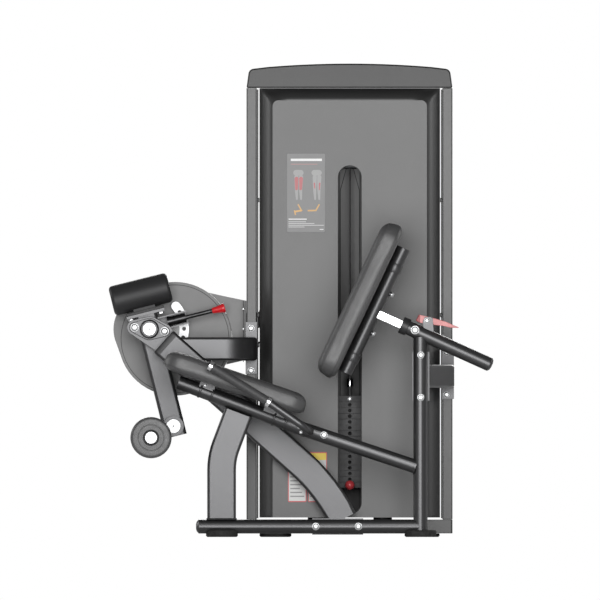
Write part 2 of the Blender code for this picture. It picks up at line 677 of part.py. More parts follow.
# ---- shaft, cam and index plate -----------------------------------------
def cam_shaft():
    """Main shaft with the cable cam keyed on; they turn as one."""
    shape = [(0.011, 0.0), (0.0125, 0.0015), (0.0125, 0.012), (SHAFT_R, 0.012), (SHAFT_R, 0.286)]
    shaft = turned("cam_shaft", shape, (PIVOT.x, -0.0160, PIVOT.z), (0, 1, 0), 20, STEEL, PIVOT)
    outline = []
    for k in range(32):
        angle = 2 * math.pi * k / 32
        reach = 0.098 + 0.012 * math.cos(angle + math.radians(50))
        outline.append((reach * math.cos(angle), reach * math.sin(angle)))
    rings = []
    for y, inset in ((-0.012, 0.0), (-0.0045, 0.0), (0.0, 0.005), (0.0045, 0.0), (0.012, 0.0)):
        scale = 1.0 - inset / 0.1
        rings.append([Vector((x * scale, STACK_Y + y, z * scale)) for x, z in outline])
    cam = loft("cam", rings)
    for turn in range(4):
        angle = math.radians(45 + 90 * turn)
        at = Vector((0.062 * math.cos(angle), STACK_Y, 0.062 * math.sin(angle)))
        cut(cam, cylinder("window", at - Vector((0, 0.05, 0)), at + Vector((0, 0.05, 0)),
                          0.022, 10))
    hub = cylinder("hub", (0, STACK_Y - 0.020, 0), (0, STACK_Y + 0.020, 0), 0.030, 20)
    join(cam, hub)
    cam.location = PIVOT
    join(shaft, cam)


def index_plate():
    """Sector plate on the shaft with the row of start-position holes."""
    centre = (PIVOT.x, PIVOT.z)
    low, high = -50.0, 41.0
    inner = INDEX_R - INDEX_WIDE / 2
    outer = INDEX_R + INDEX_WIDE / 2
    outline = arc(centre, outer, low, high, 14)
    end = arc(centre, INDEX_R, high, high, 1)[0]
    outline += arc(end, INDEX_WIDE / 2, high + 20, high + 160, 5)
    outline += [arc(centre, inner, high - 1, high - 1, 1)[0]]
    outline += arc(centre, inner, high - 2, high - 12, 2)
    outline += arc(centre, 0.030, 60, 300, 8)
    outline += [arc(centre, inner, low + 4, low + 4, 1)[0]]
    plate = prism("index_plate", outline, *INDEX_Y, ZINC)
    hub = cylinder("hub", (PIVOT.x, 0.1300, PIVOT.z), (PIVOT.x, 0.1560, PIVOT.z), 0.026)
    join(plate, hub)
    pin_angle = 14.9
    for step in range(-4, 2):
        x, z = arc(centre, INDEX_HOLE_R, pin_angle + step * INDEX_STEP, 0, 1)[0]
        cut(plate, cylinder("hole", (x, 0.1, z), (x, 0.2, z), 0.0065, 12))
    cut(plate, shaft_bore(0.1, 0.2))
    move_origin(plate, PIVOT)


# ---- lever arm group ----------------------------------------------------
ROCKER_UP = 0.008                # rocker axis above the main pivot, arm frame
ROCKER_PIVOT = 0.066             # rocker pivot from the main pivot, arm frame
ROCKER_R = 0.0145


def in_arm(x, y, z):
    """A point given in the arm's own frame, in world coordinates."""
    return PIVOT + slope(ARM_TILT, x, z) + Vector((0, y, 0))


def arm_box(name, low, high, **extra):
    """A block in the arm's own frame."""
    block = box(name, (PIVOT.x + low[0], low[1], PIVOT.z + low[2]),
                (PIVOT.x + high[0], high[1], PIVOT.z + high[2]), **extra)
    return tilted(block, ARM_TILT, PIVOT)


def lever_arm():
    """Rectangular arm with pivot hub, counterweight seat and rocker bracket."""
    half = FLAT_THICK / 2
    tube = sweep("lever_arm", [in_arm(0, ARM_Y, -ARM_LONG), in_arm(0, ARM_Y, 0.047)],
                 rounded_rect(FLAT_THICK, 0.071, 0.010), (0, 1, 0), material=FRAME_PAINT)
    hub = cylinder("hub", (PIVOT.x, ARM_Y - half - 0.012, PIVOT.z),
                   (PIVOT.x, ARM_Y + half + 0.018, PIVOT.z), 0.036)
    seat = arm_box("seat", (-0.062, ARM_Y - 0.030, 0.0465), (0.062, ARM_Y + 0.030, 0.0550))
    upper = arm_box("upper", (0.030, ARM_Y - 0.018, ROCKER_UP + 0.0175),
                    (0.128, ARM_Y + 0.033, ROCKER_UP + 0.0215))
    lower = arm_box("lower", (0.030, ARM_Y - 0.018, ROCKER_UP - 0.0215),
                    (0.128, ARM_Y + 0.033, ROCKER_UP - 0.0175))
    web = arm_box("web", (0.029, ARM_Y + 0.0250, ROCKER_UP - 0.0190),
                  (0.126, ARM_Y + 0.0320, ROCKER_UP + 0.0190))
    join(tube, hub, seat, upper, lower, web)
    swing = in_arm(0, 0, -SWING_DROP)
    cut(tube, shaft_bore(-0.1, 0.3))
    cut(tube, cylinder("pivot_hole", in_arm(ROCKER_PIVOT, ARM_Y, -0.03),
                       in_arm(ROCKER_PIVOT, ARM_Y, 0.05), 0.0046, 12))
    cut(tube, cylinder("pin_hole", in_arm(INDEX_HOLE_R, ARM_Y, 0.0017),
                       in_arm(INDEX_HOLE_R, 0.2, 0.0017), 0.0064, 16))
    cut(tube, cylinder("swing_hole", (swing.x, 0.0, swing.z), (swing.x, 0.2, swing.z),
                       0.0100 + GAP, 16))
    move_origin(tube, PIVOT)


def counterweight():
    """Turned steel weight with round edges, a neck and a bolted flange."""
    half = WEIGHT_LONG / 2
    edge = 0.012
    shape = [(WEIGHT_R - edge, -half)]
    for k in range(1, 4):
        turn = math.radians(30 * k)
        shape.append((WEIGHT_R - edge + edge * math.sin(turn), -half + edge - edge * math.cos(turn)))
    shape += [(r, -h) for r, h in reversed(shape)]
    weight = turned("counterweight", shape, in_arm(0, ARM_Y, WEIGHT_AT), slope(ARM_TILT, 1.0),
                    24, CAST_IRON)
    neck = arm_box("neck", (-0.036, ARM_Y - 0.024, 0.060), (0.036, ARM_Y + 0.024, 0.085))
    flange = arm_box("flange", (-0.062, ARM_Y - 0.030, 0.0550 + GAP),
                     (0.062, ARM_Y + 0.030, 0.0635))
    join(weight, neck, flange)
    move_origin(weight, PIVOT)


def release_lever():
    """Rocker with a rod and a flared knob; it draws the lock pin."""
    shape = [(ROCKER_R, 0.062), (ROCKER_R, 0.122), (0.007, 0.122), (0.007, 0.209),
             (0.0095, 0.211), (0.0105, 0.222), (0.0135, 0.240), (0.0150, 0.247), (0.0130, 0.251)]
    rocker = turned("release_lever", shape, in_arm(0, ARM_Y, ROCKER_UP), slope(ARM_TILT, 1.0),
                    20, STEEL)
    pivot_pin = cylinder("pivot_pin", in_arm(ROCKER_PIVOT, ARM_Y, ROCKER_UP - 0.0225),
                         in_arm(ROCKER_PIVOT, ARM_Y, ROCKER_UP + 0.0225), 0.0042, 12)
    join(rocker, pivot_pin)
    move_origin(rocker, in_arm(ROCKER_PIVOT, ARM_Y, ROCKER_UP))


def lock_pin():
    """Pin for the holes of the index plate, drawn just clear of the plate's face."""
    at = in_arm(INDEX_HOLE_R, 0.0, 0.0017)
    tip = INDEX_Y[0] - GAP
    shape = [(0.0060, 0.1015), (0.0060, tip - 0.0020), (0.0045, tip)]
    turned("lock_pin", shape, (at.x, 0.0, at.z), (0, 1, 0), 16, ZINC, (at.x, 0.1015, at.z))


def roller_link():
    """Swing link with its pivot boss and the long roller axle."""
    swing = in_arm(0, 0, -SWING_DROP)
    face = ARM_Y - FLAT_THICK / 2
    outline = hull([(swing.x, swing.z, 0.030), (ROLLER_AT.x, ROLLER_AT.z, 0.022)])
    link = prism("roller_link", outline, face - 0.0200, face - 0.0100, FRAME_PAINT)
    boss = cylinder("boss", (swing.x, face - 0.0260, swing.z), (swing.x, face - GAP, swing.z), 0.033)
    stub = cylinder("stub", (swing.x, face - 0.0100, swing.z), (swing.x, 0.1150, swing.z), 0.010, 16)
    axle = cylinder("axle", (ROLLER_AT.x, ROLLER_Y[0] - 0.010, ROLLER_AT.z),
                    (ROLLER_AT.x, face - 0.0120, ROLLER_AT.z), 0.0125, 20)
    join(link, boss, stub, axle)
    move_origin(link, swing)


def roller_pad():
    """Foam roller with round edges and a bore for its axle."""
    low, high = ROLLER_Y
    edge = 0.009
    shape = [(ROLLER_R - edge, low), (ROLLER_R - edge * 0.3, low + edge * 0.3),
             (ROLLER_R, low + edge), (ROLLER_R, high - edge),
             (ROLLER_R - edge * 0.3, high - edge * 0.3), (ROLLER_R - edge, high)]
    pad = turned("roller_pad", shape, (ROLLER_AT.x, 0, ROLLER_AT.z), (0, 1, 0), 28, UPHOLSTERY)
    cut(pad, cylinder("bore", (ROLLER_AT.x, -1, ROLLER_AT.z), (ROLLER_AT.x, 1, ROLLER_AT.z),
                      0.0125 + 2 * GAP, 20))
    move_origin(pad, ROLLER_AT)


# ---- seat and handles ---------------------------------------------------
def cushion(name, long, wide, thick, corner, edge, material):
    """Rounded slab: long in X, wide in Y, its flat top at Z = 0."""
    levels = [(0.0, edge), (-edge * 0.3, edge * 0.3), (-edge, 0.0), (-thick + edge, 0.0),
              (-thick + edge * 0.3, edge * 0.3), (-thick, edge)]
    rings = []
    for z, inset in levels:
        outline = rounded_rect(long - 2 * inset, wide - 2 * inset, corner - inset, 6)
        rings.append([Vector((x + long / 2, y, z)) for x, y in outline])
    return loft(name, rings, material)


def seat_pad():
    """Seat cushion, sloping back from its round front edge."""
    pad = cushion("seat_pad", SEAT_LONG, SEAT_WIDE, SEAT_THICK, 0.048, 0.016, UPHOLSTERY)
    start = SEAT_TOP_AT + slope(SEAT_TILT, -0.0265)
    turn = Matrix.Translation(start) @ Matrix.Rotation(math.radians(SEAT_TILT), 4, "Y")
    pad.data.transform(turn)


def handle(name, grip_name, side):
    """Side handle bar that turns in under the seat, with its rubber grip."""
    y = NEAR_Y + side * HANDLE_OUT
    tip = Vector((-0.2870, y, 0.5461))
    collar = Vector((-0.1013, y, 0.4317))
    corner = Vector((0.0312, y, 0.3384))
    root = Vector((0.0312, NEAR_Y + side * (TUBE_R + GAP), 0.3384))
    path = [tip] + bent_path([collar, corner, root], 0.045, 4)
    bar = sweep(name, path, circle(0.0125, 12), (0.34, 0.30, 0.55), material=FRAME_PAINT)
    run = (collar - tip).normalized()
    for start in (tip, collar):
        join(bar, cylinder("collar", start - run * 0.0065, start + run * 0.0065, 0.017, 16))
    low = tip + run * 0.0068
    high = collar - run * 0.0068
    grip = cylinder(grip_name, low, high, 0.0148, 16, RUBBER)
    cut(grip, cylinder("bore", low - run * 0.01, high + run * 0.01, 0.0125 + 2 * GAP, 16))


# ---- back rest ----------------------------------------------------------
def back_pad():
    """Back cushion on its sloping tube."""
    pad = cushion("back_pad", BACK_LONG, BACK_WIDE, BACK_THICK, 0.060, 0.016, UPHOLSTERY)
    rise = Vector((math.sin(math.radians(BACK_TILT)), 0, math.cos(math.radians(BACK_TILT))))
    start = BACK_FRONT_AT - rise * 0.011
    turn = Matrix.Rotation(math.radians(BACK_TILT - 90), 4, "Y")
    pad.data.transform(Matrix.Translation(start) @ turn)
    move_origin(pad, SLEEVE_FROM)


def behind_back(rise, out=0.0):
    """A point on the back tube's axis, a height up the pad's slope and a step behind it."""
    turn = math.radians(BACK_TILT)
    up = Vector((math.sin(turn), 0.0, math.cos(turn)))
    back = Vector((math.cos(turn), 0.0, -math.sin(turn)))
    return BACK_FRONT_AT + up * rise + back * (BACK_THICK + BACK_TUBE_R + GAP + out)


def back_tube():
    """Round tube that the back pad is bolted to."""
    tube = cylinder("back_tube", behind_back(0.028), behind_back(0.470), BACK_TUBE_R,
                    material=FRAME_PAINT)
    move_origin(tube, SLEEVE_FROM)


def back_slider():
    """Chromed square bar welded to a bracket plate on the back tube."""
    along = slope(SLIDE_TILT, 1.0)
    joint = SLEEVE_FROM - along * 0.098
    end = SLEEVE_FROM + along * 0.1950
    bar = sweep("back_slider", [joint, end], rounded_rect(2 * SLIDER_HALF, 2 * SLIDER_HALF,
                                                          0.004, 2), (0, 1, 0), material=CHROME)
    outline = []
    for rise, out in ((0.145, 0.0), (0.145, 0.036), (0.180, 0.052), (0.320, 0.052),
                      (0.355, 0.036), (0.355, 0.0)):
        spot = behind_back(rise, out)
        outline.append((spot.x, spot.z))
    plate = prism("plate", outline, NEAR_Y - 0.005, NEAR_Y + 0.005)
    join(bar, plate)
    cut(bar, cylinder("cope", behind_back(0.0), behind_back(0.5), BACK_TUBE_R + GAP))
    move_origin(bar, SLEEVE_FROM)


def back_release_lever():
    """Cast squeeze lever with a nose, a pivot hole and a tapered tail."""
    outline = [(0.3697, 0.6925), (0.3797, 0.7118), (0.3851, 0.7104), (0.4290, 0.7002),
               (0.4670, 0.6886), (0.4920, 0.6772), (0.5080, 0.6712), (0.5060, 0.6690),
               (0.4800, 0.6698), (0.4600, 0.6752), (0.4290, 0.6784), (0.4150, 0.6805),
               (0.3950, 0.6830), (0.3790, 0.6870)]
    lever = prism("back_release_lever", outline, NEAR_Y - 0.006, NEAR_Y + 0.006, RED)
    cut(lever, cylinder("pivot_hole", (0.4053, -0.5, 0.6925), (0.4053, 0.0, 0.6925),
                        0.0046, 12))
    move_origin(lever, (0.4053, NEAR_Y, 0.6925))


# ---- weight stack, pulleys and cables -----------------------------------
def stack_slab(name, z_low, z_high, material):
    """One stack plate with guide holes and a hole for the selector stem."""
    half = PLATE_WIDE / 2
    slab = box(name, (TOWER_MID - half, STACK_Y - PLATE_DEEP / 2, z_low),
               (TOWER_MID + half, STACK_Y + PLATE_DEEP / 2, z_high), material)
    for side in (-1, 1):
        x = TOWER_MID + side * ROD_OFFSET
        cut(slab, cylinder("rod_hole", (x, STACK_Y, z_low - 0.01), (x, STACK_Y, z_high + 0.01),
                           ROD_R + 0.0017, 10))
    return slab


def weight_plates():
    """The fifteen selectable plates, from the top of the stack down."""
    front = STACK_Y - PLATE_DEEP / 2
    for number in range(PLATE_COUNT):
        z_high = STACK_BOTTOM + (PLATE_COUNT - number) * PLATE_PITCH - GAP
        z_low = z_high - PLATE_PITCH + GAP
        plate = stack_slab(f"weight_plate_{number + 1:02d}", z_low, z_high, CAST_IRON)
        z_mid = (z_low + z_high) / 2
        cut(plate, cylinder("stem_hole", (TOWER_MID, STACK_Y, z_low - 0.01),
                            (TOWER_MID, STACK_Y, z_high + 0.01), 0.0145, 10))
        cut(plate, cylinder("pin_hole", (TOWER_MID, front - 0.01, z_mid),
                            (TOWER_MID, STACK_Y, z_mid), 0.0058, 8))


def head_plate():
    """Top plate with the selector stem below and the cable stem above."""
    bottom = STACK_BOTTOM + PLATE_COUNT * PLATE_PITCH
    head = stack_slab("head_plate", bottom, HEAD_TOP, CAST_IRON)
    shape = [(0.0125, STACK_BOTTOM + 0.002), (0.0125, bottom + 0.006), (STEM_R, bottom + 0.006),
             (STEM_R, STEM_TOP - 0.002), (STEM_R - 0.002, STEM_TOP)]
    stem = turned("stem", shape, (TOWER_MID, STACK_Y, 0.0), (0, 0, 1), 16)
    join(head, stem)
    z = STACK_BOTTOM + 0.5 * PLATE_PITCH - GAP / 2
    cut(head, cylinder("pin_hole", (TOWER_MID, STACK_Y - 0.05, z), (TOWER_MID, STACK_Y + 0.05, z),
                       0.0052, 12))


def selector_pin():
    """Weight selector pin with a round knob, in the lowest plate."""
    z = STACK_BOTTOM + 0.5 * PLATE_PITCH - GAP / 2
    front = STACK_Y - PLATE_DEEP / 2
    ball = 0.0155
    shape = [(0.002, -ball)]
    for k in range(1, 9):
        turn = math.radians(20 * k)
        shape.append((ball * math.sin(turn), -ball * math.cos(turn)))
    shape += [(0.0045, ball), (0.0045, STACK_Y + 0.010 - (front - 0.020))]
    turned("selector_pin", shape, (TOWER_MID, front - 0.020, z), (0, 1, 0), 20, RED,
           (TOWER_MID, front, z))


def pulley(name, centre, track_r, half_wide):
    """Grooved cable wheel on its axle hole."""
    groove = track_r - CABLE_R - 0.0014
    rim = groove + 0.007
    shape = [(rim - 0.004, -half_wide), (rim, -half_wide + 0.002), (rim, -half_wide + 0.004),
             (groove, -0.0015), (groove, 0.0015), (rim, half_wide - 0.004),
             (rim, half_wide - 0.002), (rim - 0.004, half_wide)]
    wheel = turned(name, shape, centre, (0, 1, 0), 24, PULLEY_NYLON)
    cut(wheel, cylinder("bore", centre - Vector((0, 0.05, 0)), centre + Vector((0, 0.05, 0)),
                        0.008 + 2 * GAP, 12))
    for k in range(4):
        angle = math.radians(45 + 90 * k)
        reach = groove * 0.58
        at = centre + Vector((reach * math.cos(angle), 0, reach * math.sin(angle)))
        cut(wheel, cylinder("window", at - Vector((0, 0.05, 0)), at + Vector((0, 0.05, 0)),
                            groove * 0.20, 8))
    move_origin(wheel, centre)


def cables():
    """Drive cable from the cam over both pulleys, and the run down to the stack."""
    rise = math.degrees(math.atan2(TURN_PULLEY.z - PIVOT.z, TURN_PULLEY.x - PIVOT.x))
    apart = math.hypot(TURN_PULLEY.z - PIVOT.z, TURN_PULLEY.x - PIVOT.x)
    lean = rise + math.degrees(math.asin((CAM_TRACK_R - TURN_TRACK_R) / apart))
    route = arc((PIVOT.x, PIVOT.z), CAM_TRACK_R, lean - 150, lean - 90, 8)
    route += arc((TURN_PULLEY.x, TURN_PULLEY.z), TURN_TRACK_R, lean - 90, 0, 8)
    route += arc((TOP_PULLEY.x, TOP_PULLEY.z), TOP_TRACK_R, 180, 0, 14)
    path = [Vector((x, STACK_Y, z)) for x, z in route]
    sweep("drive_cable", path, circle(CABLE_R, 6), (0, 1, 0), CABLE_COAT)
    top = Vector((TOWER_MID, STACK_Y, TOP_PULLEY.z - GAP))
    bottom = Vector((TOWER_MID, STACK_Y, STEM_TOP + GAP))
    cylinder("lift_cable", bottom, top, CABLE_R, 8, CABLE_COAT)


# ---- assembly -----------------------------------------------------------
base_tube()
front_leg()
seat_rail()
rear_post()
back_sleeve()
feet()
spine_tube()
upper_link_tube()
rear_link_tube()
bearing_plate()
tower_base()
uprights()
top_cap()
front_shroud()
rear_shroud()
guide_frame()
cam_guard()
belt_guard()
cam_shaft()
index_plate()
lever_arm()
counterweight()
release_lever()
lock_pin()
roller_link()
roller_pad()
seat_pad()
handle("near_handle", "near_grip", -1)
handle("far_handle", "far_grip", 1)
back_pad()
back_tube()
back_slider()
back_release_lever()
weight_plates()
head_plate()
selector_pin()
pulley("turn_pulley", TURN_PULLEY, TURN_TRACK_R, 0.010)
pulley("top_pulley", TOP_PULLEY, TOP_TRACK_R, 0.010)
cables()
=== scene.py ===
"""Looks of a seated leg extension machine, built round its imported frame."""

import json
import math

import bmesh
import bpy
import numpy as np
from mathutils import Matrix, Vector
from mathutils.bvhtree import BVHTree


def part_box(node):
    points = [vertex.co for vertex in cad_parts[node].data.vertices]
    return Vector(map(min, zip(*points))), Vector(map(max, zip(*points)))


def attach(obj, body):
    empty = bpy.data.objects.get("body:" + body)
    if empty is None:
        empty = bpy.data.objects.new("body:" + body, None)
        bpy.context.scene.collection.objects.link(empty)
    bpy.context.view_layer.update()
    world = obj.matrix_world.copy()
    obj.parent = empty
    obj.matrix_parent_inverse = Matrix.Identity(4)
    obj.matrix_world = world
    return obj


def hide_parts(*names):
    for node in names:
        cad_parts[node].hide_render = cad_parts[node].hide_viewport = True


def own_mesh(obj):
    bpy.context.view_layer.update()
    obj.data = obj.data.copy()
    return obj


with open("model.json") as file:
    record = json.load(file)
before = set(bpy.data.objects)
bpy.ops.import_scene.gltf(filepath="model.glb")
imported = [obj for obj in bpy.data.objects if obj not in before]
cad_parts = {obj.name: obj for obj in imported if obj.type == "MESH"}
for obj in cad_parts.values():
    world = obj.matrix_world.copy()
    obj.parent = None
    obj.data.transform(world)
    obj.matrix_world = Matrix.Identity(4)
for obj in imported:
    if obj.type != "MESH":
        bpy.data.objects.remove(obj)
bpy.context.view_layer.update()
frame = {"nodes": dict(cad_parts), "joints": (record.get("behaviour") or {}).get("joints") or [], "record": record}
body_of = {node: body for body, members in frame["record"]["behaviour"]["bodies"].items()
           for node in members}
joint_at = {joint["name"]: joint for joint in frame["joints"]}

# ---- studio -------------------------------------------------------------
# A square-on camera with no perspective, a pale floor and large soft panels.
# The main panel stands behind the camera, so faces square to it are lightest.
scene = bpy.context.scene
scene.view_settings.view_transform = "Standard"
camera = bpy.data.objects.new("camera", bpy.data.cameras.new("camera"))
scene.collection.objects.link(camera)
scene.camera = camera
camera.data.type = "ORTHO"
camera.data.ortho_scale = 1.92
camera.location = (-0.0008, -6.0, 0.7584)
camera.rotation_euler = (math.radians(90), 0.0, 0.0)


def panel_light(name, at, aim, wide, tall, power):
    """A soft rectangular light at one point, turned towards another."""
    lamp = bpy.data.lights.new(name, "AREA")
    lamp.shape = "RECTANGLE"
    lamp.size = wide
    lamp.size_y = tall
    lamp.energy = power
    holder = bpy.data.objects.new(name, lamp)
    holder.location = at
    holder.rotation_euler = (Vector(aim) - Vector(at)).to_track_quat("-Z", "Y").to_euler()
    scene.collection.objects.link(holder)


panel_light("front_panel", (0.0, -5.0, 1.0), (0.0, 0.0, 0.75), 3.4, 2.6, 235)
panel_light("back_panel", (0.6, 5.0, 2.2), (0.0, 0.3, 0.75), 3.0, 3.0, 180)
panel_light("left_panel", (-5.0, 1.6, 2.0), (0.0, 0.0, 0.75), 2.0, 2.4, 60)
panel_light("right_panel", (5.0, 1.6, 2.0), (0.0, 0.0, 0.75), 2.0, 2.4, 60)

world = bpy.data.worlds.new("studio")
scene.world = world
world.use_nodes = True
sky = world.node_tree
sky.nodes.clear()
seen = sky.nodes.new("ShaderNodeLightPath")
white = sky.nodes.new("ShaderNodeBackground")
white.inputs["Color"].default_value = (1, 1, 1, 1)
white.inputs["Strength"].default_value = 1.0
fill = sky.nodes.new("ShaderNodeBackground")
fill.inputs["Color"].default_value = (1, 1, 1, 1)
fill.inputs["Strength"].default_value = 0.16
choose = sky.nodes.new("ShaderNodeMixShader")
result = sky.nodes.new("ShaderNodeOutputWorld")
sky.links.new(seen.outputs["Is Camera Ray"], choose.inputs[0])
sky.links.new(fill.outputs[0], choose.inputs[1])
sky.links.new(white.outputs[0], choose.inputs[2])
sky.links.new(choose.outputs[0], result.inputs[0])


class Wire:
    """A value in a material. Python's operators on it add the Math nodes."""

    def __init__(self, finish, socket):
        self.finish = finish
        self.socket = socket

    def math(self, operation, other=0.0, turned=False, clamp=False):
        pair = (other, self) if turned else (self, other)
        return self.finish.add("ShaderNodeMath", {"operation": operation, "use_clamp": clamp},
                               dict(enumerate(pair)))

    def __add__(self, other):
        return self.math("ADD", other)

    def __sub__(self, other):
        return self.math("SUBTRACT", other)

    def __rsub__(self, other):
        return self.math("SUBTRACT", other, turned=True)

    def __mul__(self, other):
        return self.math("MULTIPLY", other)

    def __truediv__(self, other):
        return self.math("DIVIDE", other)

    def __gt__(self, other):
        return self.math("GREATER_THAN", other)

    def __lt__(self, other):
        return self.math("LESS_THAN", other)

    def __pow__(self, other):
        return self.math("POWER", other)

    __radd__ = __add__
    __rmul__ = __mul__

    def between(self, low, high):
        """One inside the range, nothing outside it."""
        return (self > low) * (self < high)

    def sine(self):
        return self.math("SINE")

    def part(self):
        """What is left after the whole number."""
        return self.math("FRACT")

    def size(self):
        return self.math("ABSOLUTE")


class Finish:
    """One procedural material on object coordinates."""

    def __init__(self, name, roughness=0.5, metallic=0.0, coat=0.0, sheen=0.0, specular=0.5):
        self.material = bpy.data.materials.new(name)
        self.material.use_nodes = True
        self.tree = self.material.node_tree
        self.shader = self.tree.nodes["Principled BSDF"]
        for socket, value in (("Roughness", roughness), ("Metallic", metallic),
                              ("Coat Weight", coat), ("Sheen Weight", sheen),
                              ("Specular IOR Level", specular)):
            self.shader.inputs[socket].default_value = value
        self.place = self.add("ShaderNodeTexCoord", out="Object")
        split = self.tree.nodes.new("ShaderNodeSeparateXYZ")
        self.tree.links.new(self.place.socket, split.inputs[0])
        self.x, self.y, self.z = (Wire(self, s) for s in split.outputs)

    def add(self, kind, settings=None, sockets=None, out=0):
        """A node of one kind: its settings first, then the values or links of its sockets."""
        node = self.tree.nodes.new(kind)
        for name, value in (settings or {}).items():
            if name == "stops":
                ramp = node.color_ramp
                while len(ramp.elements) < len(value):
                    ramp.elements.new(0.5)
                for stop, (at, colour) in zip(ramp.elements, value):
                    stop.position = at
                    stop.color = (*colour, 1.0)
            else:
                setattr(node, name, value)
        for name, value in (sockets or {}).items():
            if isinstance(value, Wire):
                self.tree.links.new(value.socket, node.inputs[name])
            else:
                node.inputs[name].default_value = value
        return Wire(self, node.outputs[out])

    def noise(self, scale, detail=3.0, stretch=None, rough=0.5):
        """Cloudy values round 0.5, `scale` clouds to the metre."""
        at = self.place
        if stretch:
            at = self.add("ShaderNodeMapping", None, {"Vector": at, "Scale": stretch})
        return self.add("ShaderNodeTexNoise", None, {"Vector": at, "Scale": scale,
                                                     "Detail": detail, "Roughness": rough})

    def cells(self, scale, feature="DISTANCE_TO_EDGE"):
        """Distance to the nearest cell border, `scale` cells to the metre."""
        return self.add("ShaderNodeTexVoronoi", {"feature": feature},
                        {"Vector": self.place, "Scale": scale}, out="Distance")

    def ramp(self, value, *stops):
        return self.add("ShaderNodeValToRGB", {"stops": stops}, {0: value})

    def mix(self, amount, first, second):
        """Blend two colours by an amount."""
        sockets = {0: amount}
        for slot, colour in ((6, first), (7, second)):
            sockets[slot] = colour if isinstance(colour, Wire) else (*colour, 1.0)
        return self.add("ShaderNodeMix", {"data_type": "RGBA"}, sockets, out=2)

    def set(self, **links):
        """Link results to the shader: colour, roughness, metallic, coat."""
        names = {"colour": "Base Color", "roughness": "Roughness", "metallic": "Metallic",
                 "coat": "Coat Weight"}
        for word, value in links.items():
            if isinstance(value, Wire):
                self.tree.links.new(value.socket, self.shader.inputs[names[word]])
            elif word == "colour":
                self.shader.inputs[names[word]].default_value = (*value, 1.0)
            else:
                self.shader.inputs[names[word]].default_value = value

    def bump(self, height, strength, depth):
        """Raise the surface by a height pattern, `depth` in metres."""
        normal = self.add("ShaderNodeBump", None, {"Strength": strength, "Distance": depth,
                                                   "Height": height})
        self.tree.links.new(normal.socket, self.shader.inputs["Normal"])


floor_paint = Finish("floor_paint", roughness=0.8)
floor_paint.set(colour=floor_paint.ramp(floor_paint.noise(3.0), (0.3, (0.80, 0.80, 0.80)),
                                        (0.7, (0.84, 0.84, 0.84))))
reach = 6.0
floor_mesh = bpy.data.meshes.new("studio_floor")
floor_mesh.from_pydata([(-reach, -reach, 0), (reach, -reach, 0), (reach, reach, 0),
                        (-reach, reach, 0)], [], [(0, 1, 2, 3)])
floor_mesh.materials.append(floor_paint.material)
floor = bpy.data.objects.new("studio_floor", floor_mesh)
scene.collection.objects.link(floor)

# ---- welded frame tubes -------------------------------------------------
# Round and flat steel tube, MIG welded, blasted and powder coated in a dark
# metallic grey. Each takes its exact form from the frame, with softened edges.


def powder_coat(name, colour, fleck, roughness, metallic, grain):
    """Baked powder: fine orange peel, tiny metallic flecks, a little uneven gloss."""
    coat = Finish(name, metallic=metallic, specular=0.4)
    cloud = coat.noise(4.0, 2.0)
    flecks = coat.noise(2600.0, 1.0) > 0.66
    plain = coat.ramp(cloud, (0.25, [c * 0.97 for c in colour]), (0.75, [c * 1.03 for c in colour]))
    coat.set(colour=coat.mix(flecks * 0.30, plain, fleck),
             roughness=roughness + coat.noise(300.0) * 0.06 - 0.03)
    coat.bump(coat.noise(grain, 2.0), 0.25, 0.0004)
    return coat.material


frame_coat = powder_coat("frame_coat", (0.085, 0.085, 0.087), (0.15, 0.15, 0.155), 0.38, 0.85, 900.0)


def softened(node, material, width=0.0012, angle=34.0):
    """Stand in for a rigid node: its own mesh merged, with bevelled and smooth edges."""
    mesh = frame["nodes"][node].data.copy()
    shape = bmesh.new()
    shape.from_mesh(mesh)
    bmesh.ops.remove_doubles(shape, verts=shape.verts, dist=0.00002)
    bmesh.ops.dissolve_limit(shape, angle_limit=math.radians(0.5), verts=shape.verts,
                             edges=shape.edges)
    shape.to_mesh(mesh)
    shape.free()
    mesh.materials.clear()
    mesh.materials.append(material)
    mesh.shade_smooth()
    mesh.set_sharp_from_angle(angle=math.radians(angle))
    piece = bpy.data.objects.new(f"{node}_finished", mesh)
    scene.collection.objects.link(piece)
    if width:
        bevel = piece.modifiers.new("edges", "BEVEL")
        bevel.width = width
        bevel.segments = 2
        bevel.limit_method = "ANGLE"
        bevel.angle_limit = math.radians(angle)
    level = piece.modifiers.new("flats", "WEIGHTED_NORMAL")
    level.mode = "FACE_AREA"
    level.weight = 100
    level.keep_sharp = True
    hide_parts(node)
    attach(piece, body_of[node])
    return piece


for tube in ("base_tube", "front_leg", "seat_rail", "rear_post", "back_sleeve", "spine_tube",
             "upper_link_tube", "rear_link_tube", "bearing_plate", "lever_arm", "roller_link",
             "near_handle", "far_handle", "back_tube"):
    softened(tube, frame_coat)


